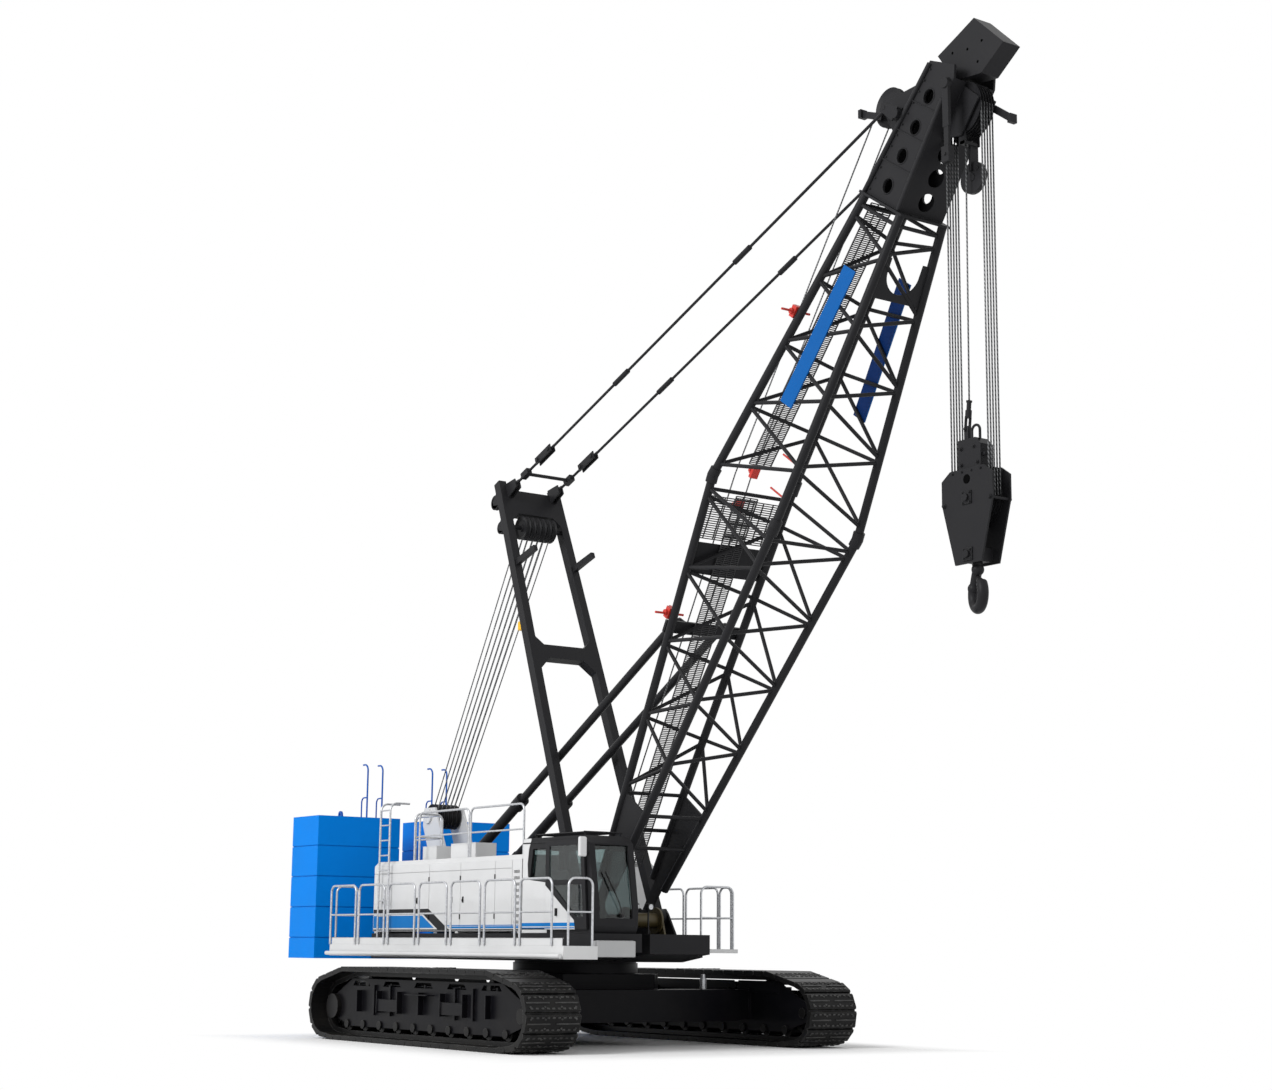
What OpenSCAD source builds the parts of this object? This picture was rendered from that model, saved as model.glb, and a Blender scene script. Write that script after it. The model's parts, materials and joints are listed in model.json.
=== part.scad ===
// Lattice boom crawler crane on two wide tracks, all sizes in millimetres
// Forward is +X, left is +Y, up is +Z and the ground is Z = 0

/* [Tracks] */
// Overall length of each track
track_length = 7700; // [7200:10:8400]
// Overall height of each track
track_height = 1330; // [1250:5:1450]
// Width of the track shoes
shoe_width = 1060; // [800:10:1150]
// Distance between the two track centre lines
track_gauge = 5900; // [5600:10:6300]
// Shoes in one track
shoe_count = 54; // [46:1:60]
// Thickness of a shoe over its chain
shoe_thick = 60; // [45:1:75]
// Depth of the chain under the shoes
chain_depth = 110; // [90:5:130]
// Radius of the track round its end wheels
end_radius = 560; // [520:5:600]
// Bottom rollers on each side
roller_count = 10; // [7:1:11]

/* [Lower works] */
// Half length of the middle body along the tracks
body_half = 1120; // [1000:10:1200]
// Width of each cross beam along the tracks
beam_wide = 655; // [500:5:720]
// Underside of the cross beams over the ground
beam_low = 420; // [380:5:480]
// Top of the cross beams over the ground
beam_high = 985; // [900:5:1040]
// Outer diameter of the slewing ring
ring_dia = 2300; // [2000:10:2400]

/* [Upper works] */
// Underside of the turning frame over the ground
deck_low = 1470; // [1460:5:1540]
// Top of the turning frame over the ground
deck_high = 1950; // [1900:5:2000]
// Front of the turning frame ahead of the swing axis
deck_front = 3270; // [3150:10:3400]
// Half width of the turning frame
deck_half = 985; // [960:5:1000]
// Outer side of both houses from the middle
house_side = 1950; // [1900:5:1980]
// Top of the houses over the ground
house_high = 3330; // [3100:10:3500]
// Wall thickness of the houses
house_wall = 30; // [20:1:40]
// Outer edge of the right walkway from the middle
walk_edge = 2740; // [2600:10:2850]
// Height of the walkway rails
rail_high = 1110; // [950:10:1200]
// Tube diameter of the rails
rail_dia = 40; // [30:1:48]

/* [Counterweight] */
// Front of the counterweight behind the swing axis
weight_front = 6100; // [6050:5:6200]
// Length of the counterweight along the machine
weight_long = 1325; // [1250:5:1400]
// Half width of the counterweight
weight_half = 2280; // [2150:5:2400]
// Height of one slab
slab_high = 615; // [560:5:630]
// Slabs in each stack
slab_count = 4; // [3:1:4]
// Height of the base slab
base_high = 405; // [380:5:430]

/* [Cab] */
// Back of the cab ahead of the swing axis
cab_back = 1260; // [1240:5:1300]
// Length of the cab
cab_long = 2260; // [2150:5:2300]
// Width of the cab
cab_wide = 900; // [860:5:910]
// Height of the cab
cab_high = 1640; // [1560:5:1760]
// Wall thickness of the cab
cab_wall = 45; // [35:1:55]
// Width of the door opening
door_wide = 1110; // [1060:5:1120]

/* [Boom] */
// Boom angle over the ground in degrees
boom_angle = 54.9; // [53:0.1:56]
// Foot pin ahead of the swing axis
foot_x = 1431; // [1420:1:1440]
// Foot pin over the ground
foot_z = 2274; // [2270:1:2290]
// Foot pin to the joint of the two boom sections
joint_s = 8240; // [8180:10:8300]
// Foot pin to the bulkhead of the boom head
head_s = 13560; // [13500:5:13620]
// Half spacing of the chords at the foot
foot_half = 535; // [525:1:545]
// Half spacing of the chords across the joint
joint_half = 885; // [840:5:900]
// Half depth of the boom at the joint
joint_depth = 1010; // [960:5:1040]
// Half spacing of the chords at the bulkhead
head_half = 450; // [440:1:470]
// Half depth of the boom at the bulkhead
head_depth = 500; // [485:1:515]
// Chord tube diameter
chord_dia = 146; // [120:1:150]
// Brace tube diameter
brace_dia = 66; // [50:1:76]
// Share of a panel that its long brace takes
long_brace = 0.7; // [0.6:0.01:0.8]

/* [Mast] */
// Mast angle over the ground in degrees
mast_angle = 112.15; // [111.5:0.05:112.8]
// Length of the mast
mast_long = 9150; // [9100:5:9200]

/* [Hook] */
// Underside of the hook over the ground
hook_low = 6650; // [6300:10:7000]
// Radius of the hoist sheaves
sheave_radius = 420; // [400:1:430]
// Hoist sheaves side by side
sheave_count = 5; // [3:1:5]
// Hoist rope diameter
rope_dia = 26; // [20:1:28]

/* [Hidden] */
$fn = 36;
gap = 0.5;
c_dark = [0.13, 0.13, 0.14];
c_navy = [0.10, 0.11, 0.16];
c_blue = [0.02, 0.30, 0.80];
c_white = [0.90, 0.90, 0.90];
c_grey = [0.55, 0.56, 0.58];
c_steel = [0.65, 0.67, 0.70];
c_glass = [0.35, 0.48, 0.44, 0.6];
c_olive = [0.28, 0.25, 0.14];
c_red = [0.85, 0.12, 0.08];
half_gauge = track_gauge / 2;
chord_r = chord_dia / 2;
foot_depth = 130;
butt_slope = atan2(joint_depth - foot_depth, joint_s);
tip_slope = atan2(head_depth - joint_depth, head_s - joint_s);
weight_rear = weight_front + weight_long;
weight_low = deck_low - 15;
aux_s = head_s + 3030;
aux_n = 900;
front_x = foot_x + aux_s * cos(boom_angle) + aux_n * sin(boom_angle);
x_mid = (front_x - weight_rear) / 2;
deck_out = house_side + 20;
cab_front = cab_back + cab_long;
walk_low = 1640;
walk_back = -4700;
walk_front = 3650;
walk_high = 1740;
head_sheave_s = head_s + 1860;
head_sheave_n = -550;
hook_x = foot_x + head_sheave_s * cos(boom_angle) - head_sheave_n * sin(boom_angle);
hoist_z = foot_z + head_sheave_s * sin(boom_angle) + head_sheave_n * cos(boom_angle);
stay_s = head_s + 1370;
stay_n = 750;
stay_y = 500;
stay_x = foot_x + stay_s * cos(boom_angle) - stay_n * sin(boom_angle);
stay_z = foot_z + stay_s * sin(boom_angle) + stay_n * cos(boom_angle);
mast_pin_s = mast_long - 220;
mast_pin_n = -330;
mast_pin_x = foot_x + mast_pin_s * cos(mast_angle) - mast_pin_n * sin(mast_angle);
mast_pin_z = foot_z + mast_pin_s * sin(mast_angle) + mast_pin_n * cos(mast_angle);
stop_y = 500;
stop_s = joint_s - 2790;
stop_n = half_depth(stop_s) + 265;
stop_reach = norm([stop_s, stop_n]);
stop_x = foot_x - stop_reach * cos(5.3);
stop_z = foot_z + stop_reach * sin(5.3);
stop_top_x = foot_x + stop_s * cos(boom_angle) - stop_n * sin(boom_angle);
stop_top_z = foot_z + stop_s * sin(boom_angle) + stop_n * cos(boom_angle);

// Half width and half depth of the boom at a distance from its foot
function mix(a, b, t) = a + (b - a) * t;
function half_width(s) = s < joint_s ? mix(foot_half, joint_half, s / joint_s)
    : mix(joint_half, head_half, (s - joint_s) / (head_s - joint_s));
function half_depth(s) = s < joint_s ? mix(foot_depth, joint_depth, s / joint_s)
    : mix(joint_depth, head_depth, (s - joint_s) / (head_s - joint_s));
function chord_at(s, side, top) = [s, side * half_width(s), top * half_depth(s)];

// Convex outline moved inward by a wall thickness
function edge_dir(a, b) = (b - a) / norm(b - a);
function edge_in(a, b, d) = let (u = edge_dir(a, b)) [a + d * [-u[1], u[0]], u];
function meet(l, m) = let (c = l[1][0] * m[1][1] - l[1][1] * m[1][0], v = m[0] - l[0])
    l[0] + l[1] * ((v[0] * m[1][1] - v[1] * m[1][0]) / c);
function inset(p, d) = [for (i = [0:len(p) - 1]) let (n = len(p))
    meet(edge_in(p[(i + n - 1) % n], p[i], d), edge_in(p[i], p[(i + 1) % n], d))];

module placed() translate([-x_mid, 0, 0]) children();
module in_boom() translate([foot_x, 0, foot_z]) rotate([0, -boom_angle, 0]) children();
module in_mast() translate([foot_x, 0, foot_z]) rotate([0, -mast_angle, 0]) children();
module both() {
    children();
    mirror([0, 1, 0]) children();
}

// Plate in the XZ plane between two distances from the middle plane
module side_plate(y0, y1) translate([0, y1, 0]) rotate([90, 0, 0]) linear_extrude(y1 - y0) children();

// Round bar across the machine
module cross_bar(x, z, y0, y1, r) translate([x, y1, z]) rotate([90, 0, 0]) cylinder(h = y1 - y0, r = r);

// Box from two corners
module box(a, b) translate(a) cube(b - a);

// Round tube between two points
module tube(a, b, d) {
    v = b - a;
    translate(a) rotate([0, acos(v[2] / norm(v)), atan2(v[1], v[0])]) cylinder(h = norm(v), d = d);
}

// Track loop around six circles given as centre and radius
wheel_x = track_length / 2 - end_radius;
wheel_z = end_radius + 40;
low_bend = wheel_x - 390;
high_bend = wheel_x - 740;
loop = [
    [low_bend, 300, 300],
    [wheel_x, wheel_z, end_radius],
    [high_bend, track_height - 250, 250],
    [-high_bend, track_height - 250, 250],
    [-wheel_x, wheel_z, end_radius],
    [-low_bend, 300, 300]];
function loop_face(i) = let (a = loop[i % 6], b = loop[(i + 1) % 6], v = [b[0] - a[0], b[1] - a[1]],
    raw = atan2(v[1], v[0]) - 90 + asin((a[2] - b[2]) / norm(v))) raw;
function unwrap(i) = i == 0 ? loop_face(0) : let (last = unwrap(i - 1), raw = loop_face(i))
    raw + 360 * ceil((last - raw) / 360);
face = [for (i = [0:6]) i < 6 ? unwrap(i) : unwrap(0) + 360];
function arc_long(i) = (loop[i % 6][2] - shoe_thick) * (face[i] - face[i - 1]) * PI / 180;
function run_long(i) = let (a = loop[i % 6], b = loop[(i + 1) % 6], v = [b[0] - a[0], b[1] - a[1]])
    sqrt(v * v - (a[2] - b[2]) * (a[2] - b[2]));
function legs_to(k) = k == 0 ? 0 : legs_to(k - 1) + (k % 2 == 1 ? run_long((k - 1) / 2) : arc_long(k / 2));
leg_ends = [for (k = [0:12]) legs_to(k)];
loop_long = leg_ends[12];
function leg_of(s, k = 0) = s < leg_ends[k + 1] || k == 11 ? k : leg_of(s, k + 1);
function polar(a) = [cos(a), sin(a)];
function on_loop(s) = let (k = leg_of(s), i = floor(k / 2), t = s - leg_ends[k])
    k % 2 == 0 ? let (c = loop[i], a = face[i], r = c[2] - shoe_thick)
        [[c[0], c[1]] + r * polar(a) + t * [-sin(a), cos(a)], a]
    : let (c = loop[(i + 1) % 6], r = c[2] - shoe_thick, a = face[i] + t / r * 180 / PI)
        [[c[0], c[1]] + r * polar(a), a];
pitch = loop_long / shoe_count;
shoe_half = pitch / 2 - 7;
shoe_form = [[-shoe_half, 0], [-shoe_half, shoe_thick - 18], [30 - shoe_half, shoe_thick],
    [shoe_half - 30, shoe_thick], [shoe_half, shoe_thick - 18], [shoe_half, 0]];
function shoe_points(i) = let (m = on_loop((i + 0.5) * pitch), n = polar(m[1]), t = [-n[1], n[0]])
    [for (q = shoe_form) m[0] + t * q[0] + n * q[1]];
shoe_ring = [for (i = [0:shoe_count - 1]) for (p = shoe_points(i)) p];
arc_steps = 9;
function ring_points(d) = [for (i = [1:6]) for (j = [0:arc_steps]) let (c = loop[i % 6],
    a = mix(face[i - 1], face[i], j / arc_steps)) [c[0], c[1]] + (c[2] - shoe_thick - d) * polar(a)];
module ring_shape(outer, inner) polygon(concat(outer, inner), [[for (i = [0:len(outer) - 1]) i],
    [for (i = [0:len(inner) - 1]) i + len(outer)]]);

module track_shoes(side) placed() {
    y = side * half_gauge;
    side_plate(y - shoe_width / 2, y + shoe_width / 2) ring_shape(shoe_ring, ring_points(28));
    side_plate(y - 190, y + 190) ring_shape(ring_points(12), ring_points(chain_depth));
}
module track_shoes_right() color(c_dark) track_shoes(-1);
module track_shoes_left() color(c_dark) track_shoes(1);

wheel_r = end_radius - shoe_thick - chain_depth - 12;
roller_r = 122;
roller_z = shoe_thick + chain_depth + roller_r + gap;
frame_low = roller_z + roller_r + 18;
frame_high = track_height - shoe_thick - chain_depth - 210;
cheek_high = track_height - shoe_thick - chain_depth - 45;
cheek_in = 215;
cheek_out = 243;
roller_row = wheel_x - 490;
roller_step = 2 * roller_row / (roller_count - 1);
beam_x = body_half + gap + beam_wide / 2;
module cheek_shape() difference() {
    polygon([[-wheel_x - 250, wheel_z - 110], [50 - roller_row, roller_z - 40],
        [roller_row - 50, roller_z - 40], [wheel_x + 250, wheel_z - 110], [wheel_x + 250, wheel_z + 110],
        [roller_row - 150, cheek_high], [150 - roller_row, cheek_high], [-wheel_x - 250, wheel_z + 110]]);
    for (i = [0:roller_count - 1])
        translate([i * roller_step - roller_row, roller_z]) circle(r = 52);
    for (s = [-1, 1]) translate([s * wheel_x, wheel_z]) circle(r = 92);
    for (i = [-2:2]) translate([i * 1150, 0]) polygon([[-330, cheek_high - 130], [330, cheek_high - 130],
        [250, cheek_high - 40], [-250, cheek_high - 40]]);
}
// Ribs, steps and long boxes welded on the outer cheek
rib_step = 760;
module cheek_ribs() {
    for (i = [-3:3]) box([i * rib_step - 12, cheek_out - 1, frame_low + 90],
        [i * rib_step + 12, cheek_out + 110, frame_high - 40]);
    for (x = [-2 * rib_step, rib_step]) box([x, cheek_out - 1, frame_low + 120],
        [x + rib_step, cheek_out + 90, frame_low + 330]);
    box([-380, cheek_out - 1, frame_high - 90], [380, cheek_out + 170, frame_high - 70]);
}
module track_frame(side) placed() translate([0, side * half_gauge, 0]) {
    side_plate(cheek_in, cheek_out) cheek_shape();
    side_plate(-cheek_out, -cheek_in) cheek_shape();
    box([200 - roller_row, -cheek_in - 1, frame_low], [roller_row - 200, cheek_in + 1, frame_high]);
    mirror([0, side < 0 ? 1 : 0, 0]) cheek_ribs();
    for (s = [-1, 1])
        for (t = [-1, 1])
            box([s * beam_x + t * (beam_wide / 2 - 27) - 30, -290, frame_low + 40],
                [s * beam_x + t * (beam_wide / 2 - 27) + 30, 290, frame_high + 60]);
}
module track_frame_right() color(c_navy) track_frame(-1);
module track_frame_left() color(c_navy) track_frame(1);

module sprockets() color(c_dark) placed() both() translate([-wheel_x, half_gauge, wheel_z]) {
    difference() {
        side_plate(-70, 70) polygon([for (i = [0:65]) polar(i * 360 / 66) *
            (i % 6 < 3 ? wheel_r : wheel_r - 60)]);
        for (i = [0:5]) rotate([0, i * 60, 0]) cross_bar(190, 0, -80, 80, 45);
    }
    cross_bar(0, 0, 60, 320, 90);
    cross_bar(0, 0, cheek_out + gap, 330, 225);
    cross_bar(0, 0, -280, -60, 90);
}
module idlers() color(c_dark) placed() both() translate([wheel_x, half_gauge, wheel_z]) {
    difference() {
        cross_bar(0, 0, -150, 150, wheel_r);
        cross_bar(0, 0, 110, 160, wheel_r - 60);
        cross_bar(0, 0, -160, -110, wheel_r - 60);
    }
    cross_bar(0, 0, -270, 270, 90);
    cross_bar(0, 0, cheek_out + gap, 285, 130);
}
module lower_rollers() color(c_dark) placed() both()
    for (i = [0:roller_count - 1]) translate([i * roller_step - roller_row, half_gauge, roller_z]) {
        cross_bar(0, 0, -205, 205, roller_r);
        cross_bar(0, 0, -265, 265, 50);
        cross_bar(0, 0, cheek_out + gap, 275, 78);
        cross_bar(0, 0, -275, -cheek_out - gap, 78);
    }
carrier_r = 98;
carrier_z = track_height - shoe_thick - chain_depth - carrier_r - gap;
module carrier_rollers() color(c_dark) placed() both()
    for (s = [-1, 1]) translate([s * (roller_row - 650), half_gauge, 0]) {
        cross_bar(0, carrier_z, -150, 150, carrier_r);
        for (t = [-1, 1])
            box([-60, t * 185 - 25, frame_high + gap], [60, t * 185 + 25, carrier_z + 60]);
        cross_bar(0, carrier_z, -170, 170, 40);
    }

module car_body() color(c_dark) placed() {
    translate([0, 0, 560]) linear_extrude(690) polygon([[-body_half, -1000], [-800, -1300], [800, -1300],
        [body_half, -1000], [body_half, 1000], [800, 1300], [-800, 1300], [-body_half, 1000]]);
    translate([0, 0, 1240]) cylinder(h = 20, d = ring_dia - 80);
}
module slewing_ring() color(c_dark) placed() translate([0, 0, 1260 + gap]) difference() {
    cylinder(h = deck_low - 25 - 1260 - 2 * gap, d = ring_dia);
    translate([0, 0, -1]) cylinder(h = 400, d = ring_dia - 520);
}
beam_end = half_gauge - 290 - gap;
module axle_beams() color(c_navy) placed() for (s = [-1, 1]) {
    x0 = s > 0 ? body_half + gap : -body_half - gap - beam_wide;
    translate([x0, 0, 0]) rotate([90, 0, 90]) linear_extrude(beam_wide) polygon([[-beam_end, beam_low + 60],
        [-beam_end + 250, beam_low], [beam_end - 250, beam_low], [beam_end, beam_low + 60],
        [beam_end, beam_high], [-beam_end, beam_high]]);
}
module beam_jacks() color(c_steel) placed() both() for (s = [-1, 1])
    translate([s * (body_half + beam_wide / 2), 1860, beam_high + gap]) {
        cylinder(h = 200, r = 60);
        cylinder(h = 270, r = 38);
    }

module upper_frame() color(c_dark) placed() {
    side_plate(-deck_half, deck_half) polygon([[-weight_front + gap, deck_low], [2000, deck_low],
        [2600, 1560], [2600, deck_high], [-weight_front + gap, deck_high]]);
    side_plate(-640, 640) polygon([[1900, deck_low + 20], [2200, deck_low + 20], [deck_front, 1615],
        [deck_front, deck_high], [1900, deck_high]]);
    translate([0, 0, deck_low - 25]) cylinder(h = 40, d = ring_dia - 60);
}
module side_decks() color(c_dark) placed() {
    box([house_back, -deck_out, walk_low], [cab_front, -deck_half - gap, deck_high]);
    box([house_back, deck_half + gap, walk_low], [left_front + 60, deck_out, deck_high]);
}
module foot_brackets() color(c_dark) placed() both() {
    for (y = [foot_half - 155, foot_half + 115, foot_half + 405])
        side_plate(y, y + 40) polygon([[foot_x - 400, deck_high + gap], [foot_x + 400, deck_high + gap],
            [foot_x + 150, foot_z + 60], [foot_x + 65, foot_z + 150], [foot_x - 65, foot_z + 150],
            [foot_x - 150, foot_z + 60]]);
    cross_bar(foot_x, foot_z, foot_half - 175, foot_half + 465, 60);
}

// House cross section with a bevelled outer top edge
module house_shape(d) polygon([[house_in + d, house_low], [house_in + d, house_high - d],
    [house_side - 90 - d * 0.4, house_high - d], [house_side - d, house_high - 90 - d * 0.4],
    [house_side - d, house_low]]);
house_low = 1990;
house_front = 1200;
left_front = -250;
house_in = 1050;
house_back = -4250;
seams = [-2080, -920, 300, 880];
module house_box(x0, x1, d) translate([x0, 0, 0]) rotate([90, 0, 90])
    linear_extrude(x1 - x0) house_shape(d);
module house(front) {
    difference() {
        house_box(house_back, front, 0);
        house_box(house_back + house_wall, front - house_wall, house_wall);
        box([house_back + house_wall, house_in + house_wall, house_low - 90],
            [front - house_wall, house_side - house_wall, house_low + 10]);
        for (x = seams) if (x < front)
            box([x - 5, house_side - 8, house_low + 70], [x + 5, house_side + 1, house_high - 100]);
        box([house_back - 1, house_side - 8, house_high - 245],
            [front - 340, house_side + 1, house_high - 235]);
        for (i = [0:8]) box([front - 260, house_side - house_wall - 1, house_low + 130 + i * 110],
            [front - 70, house_side + 1, house_low + 180 + i * 110]);
    }
    for (x = [house_back + 40, -1100, front - 140])
        box([x, house_in + 10, deck_high + gap], [x + 100, house_side - 10, house_low + 0.5]);
}
module house_right() color(c_white) placed() mirror([0, 1, 0]) {
    house(house_front);
    for (b = [[-2940, -2410, 270], [-1870, -960, 290]]) box([b[0], house_in + 120, house_high - 1],
        [b[1], house_side - 330, house_high + b[2]]);
}
module house_left() color(c_white) placed() house(left_front);
module engine_block() color(c_grey) placed() {
    box([-3500, 1140, deck_high + gap], [-1300, 1800, 2950]);
    box([-3500, 1250, 2949], [-1500, 1700, 3120]);
}
module exhaust_stack() color(c_steel) placed() translate([-2700, 1500, house_high + gap]) {
    cylinder(h = 90, r = 150);
    cylinder(h = 620, r = 70);
}
module drum(x, z, r, half) {
    cross_bar(x, z, -half, half, r);
    for (s = [-1, 1]) {
        cross_bar(x, z, s * half - 20, s * half + 20, r + 100);
        side_plate(s * (half + 60) - 20, s * (half + 60) + 20) polygon([[x - 220, deck_high + gap],
            [x + 220, deck_high + gap], [x + 110, z + 90], [x - 110, z + 90]]);
    }
    cross_bar(x, z, -half - 90, half + 90, 60);
}
module winch_drums() color(c_olive) placed() {
    drum(2080, 2200, 130, 320);
    drum(-700, 2400, 260, 420);
    drum(-2300, 2400, 260, 420);
}

chamfer = 400;
corner = 170;
weight_in = 400;
weight_plan = [[-weight_front, -weight_half], [-weight_front, -weight_in], [-weight_rear, -weight_in],
    [-weight_rear, -weight_half + chamfer], [-weight_rear + corner, -weight_half]];
module counterweight_base() color(c_blue) placed() translate([0, 0, weight_low]) linear_extrude(base_high)
    polygon([[-weight_front, -weight_half], [-weight_front, weight_half],
        [-weight_rear + corner, weight_half], [-weight_rear, weight_half - chamfer],
        [-weight_rear, chamfer - weight_half], [-weight_rear + corner, -weight_half]]);
module counterweight_slabs() color(c_blue) placed() both() for (i = [0:slab_count - 1])
    translate([0, 0, weight_low + base_high + gap + i * slab_high]) {
        linear_extrude(slab_seam + 1) polygon(inset(weight_plan, slab_seam));
        translate([0, 0, slab_seam]) linear_extrude(slab_high - gap - slab_seam) polygon(weight_plan);
    }
slab_seam = 16;
weight_top = weight_low + base_high + slab_count * slab_high;
module counterweight_handles() color(c_blue) placed() {
    lifting_lugs();
    hand_bars();
}
bar_high = 1000;
module hand_bars() both() for (y = [weight_in + 200, weight_in + 550])
    translate([-weight_front - 450, y, weight_top + gap]) {
        box([-290, -50, 0], [50, 50, 22]);
        tube([0, 0, 20], [0, 0, bar_high], 36);
        translate([-130, 0, bar_high]) rotate([90, 0, 0]) rotate_extrude(angle = 90)
            translate([130, 0]) circle(d = 36);
        tube([-210, 0, bar_high + 130], [-130, 0, bar_high + 130], 36);
        tube([-240, 0, 20], [-240, 0, 340], 30);
        translate([-140, 0, 340]) rotate([90, 0, 0]) rotate([0, 0, 90]) rotate_extrude(angle = 90)
            translate([100, 0]) circle(d = 30);
        tube([-140, 0, 440], [0, 0, 440], 30);
    }
lug_x = -weight_front - 950;
lug_y = weight_in + 900;
lug_r = 32;
module lifting_lugs() both() translate([lug_x, lug_y, weight_top + gap]) difference() {
    side_plate(-20, 20) {
        translate([0, 90]) circle(r = 75);
        polygon([[-95, 0], [95, 0], [75, 90], [-75, 90]]);
    }
    cross_bar(0, 90, -30, 30, lug_r);
}

cab_low = deck_high + gap;
cab_right = -house_side - 20;
cab_left = cab_right + cab_wide;
cab_top = cab_low + cab_high;
cab_form = [[cab_back, cab_low], [cab_front - 60, cab_low], [cab_front, cab_low + 120],
    [cab_front + 10, cab_low + 420], [cab_front - 170, cab_top - 130], [cab_front - 330, cab_top],
    [cab_back + 40, cab_top], [cab_back, cab_top - 80]];
sill = cab_low + 330;
head = cab_top - 190;
window_low = cab_low + 900;
door_lean = 130;
door_x0 = cab_back + 850;
door_x1 = door_x0 + door_wide;
module cab_shell() color(c_dark) placed() {
    cab_body();
    for (z = [cab_low + 65, head + 96])
        box([cab_back + 10, cab_right - 11.5, z], [door_x1 + 40, cab_right + 1, z + 20]);
}
// Door opening with its leaning front edge, and the door that laps over it
module door_outline(lap) polygon([[door_x0 - lap, cab_low + 90 - lap],
    [door_x1 + door_lean + lap, cab_low + 90 - lap], [door_x1 + lap, head + 90 + lap],
    [door_x0 - lap, head + 90 + lap]]);
module cab_body() difference() {
    side_plate(cab_right, cab_left) polygon(cab_form);
    side_plate(cab_right + cab_wall, cab_left - cab_wall) polygon(inset(cab_form, cab_wall));
    side_plate(cab_right - 1, cab_right + cab_wall + 1) {
        door_outline(0);
        polygon([[cab_back + 230, window_low], [door_x0 - 110, window_low], [door_x0 - 110, head],
            [cab_back + 330, head]]);
    }
    side_plate(cab_left - cab_wall - 1, cab_left + 1) polygon([[cab_back + 200, sill],
        [cab_front - 110, sill], [cab_front - 300, head], [cab_back + 200, head]]);
    box([cab_front - 260, cab_right + 110, cab_low + 250], [cab_front + 60, cab_left - 110, cab_top - 160]);
    box([cab_back - 1, cab_right + 150, sill + 150], [cab_back + cab_wall + 1, cab_left - 150, head]);
}
module pane_shell(d) difference() {
    polygon(inset(cab_form, cab_wall + gap));
    polygon(inset(cab_form, cab_wall + gap + d));
}
module cab_glass() color(c_glass) placed() {
    intersection() {
        side_plate(cab_right + 90, cab_left - 90) pane_shell(8);
        box([cab_front - 420, cab_right, cab_low + 215], [cab_front + 60, cab_left, cab_top - 140]);
    }
    side_plate(cab_left - cab_wall - 8 - gap, cab_left - cab_wall - gap) polygon([[cab_back + 170, sill - 30],
        [cab_front - 130, sill - 30], [cab_front - 305, head + 20], [cab_back + 170, head + 20]]);
    side_plate(cab_right + cab_wall + gap, cab_right + cab_wall + gap + 8)
        polygon([[cab_back + 195, window_low - 30], [door_x0 - 80, window_low - 30],
            [door_x0 - 80, head + 25], [cab_back + 300, head + 25]]);
    box([cab_back + cab_wall + gap, cab_right + 120, sill + 120],
        [cab_back + cab_wall + gap + 8, cab_left - 120, head + 20]);
}
module cab_seat() color(c_grey) placed() {
    y = (cab_left + cab_right) / 2;
    box([1800, y - 180, cab_low + cab_wall + gap], [2250, y + 180, cab_low + 330]);
    box([1750, y - 230, cab_low + 329], [2300, y + 230, cab_low + 460]);
    side_plate(y - 220, y + 220) polygon([[1750, cab_low + 459], [1870, cab_low + 459],
        [1740, cab_low + 1100], [1640, cab_low + 1100]]);
    for (s = [-1, 1]) box([1900, y + s * 325 - 55, cab_low + cab_wall + gap],
        [2650, y + s * 325 + 55, cab_low + 560]);
}
module cab_guard() color(c_dark) placed() {
    for (i = [0:6]) {
        y = cab_right + 90 + i * (cab_wide - 180) / 6;
        tube([cab_back + 300, y, cab_top + 60], [cab_front - 420, y, cab_top + 60], 24);
    }
    for (x = [cab_back + 300, cab_front - 420]) {
        tube([x, cab_right + 60, cab_top + 60], [x, cab_left - 60, cab_top + 60], 36);
        for (y = [cab_right + 90, cab_left - 90])
            tube([x, y, cab_top + gap], [x, y, cab_top + 60], 30);
    }
}
door_y = cab_right - 12;
// Upper and lower window of the door, shrunk by a clearance for the panes
module door_windows(d) {
    polygon(inset([[door_x0 + 90, window_low], [door_x1 - 20, window_low], [door_x1 - 70, head + 30],
        [door_x0 + 90, head + 30]], d));
    polygon(inset([[door_x1 - 170, cab_low + 270], [door_x1 + 40, cab_low + 270],
        [door_x1 - 10, window_low - 90], [door_x0 + 190, window_low - 90]], d));
}
module cab_door() color(c_white) placed() {
    side_plate(door_y - 40, door_y) difference() {
        door_outline(30);
        door_windows(0);
    }
    box([door_x0 + 330, door_y - 75, sill - 40], [door_x0 + 370, door_y - 39, sill + 90]);
}
module door_glass() color(c_glass) placed() side_plate(door_y - 24, door_y - 16) door_windows(gap);

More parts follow.
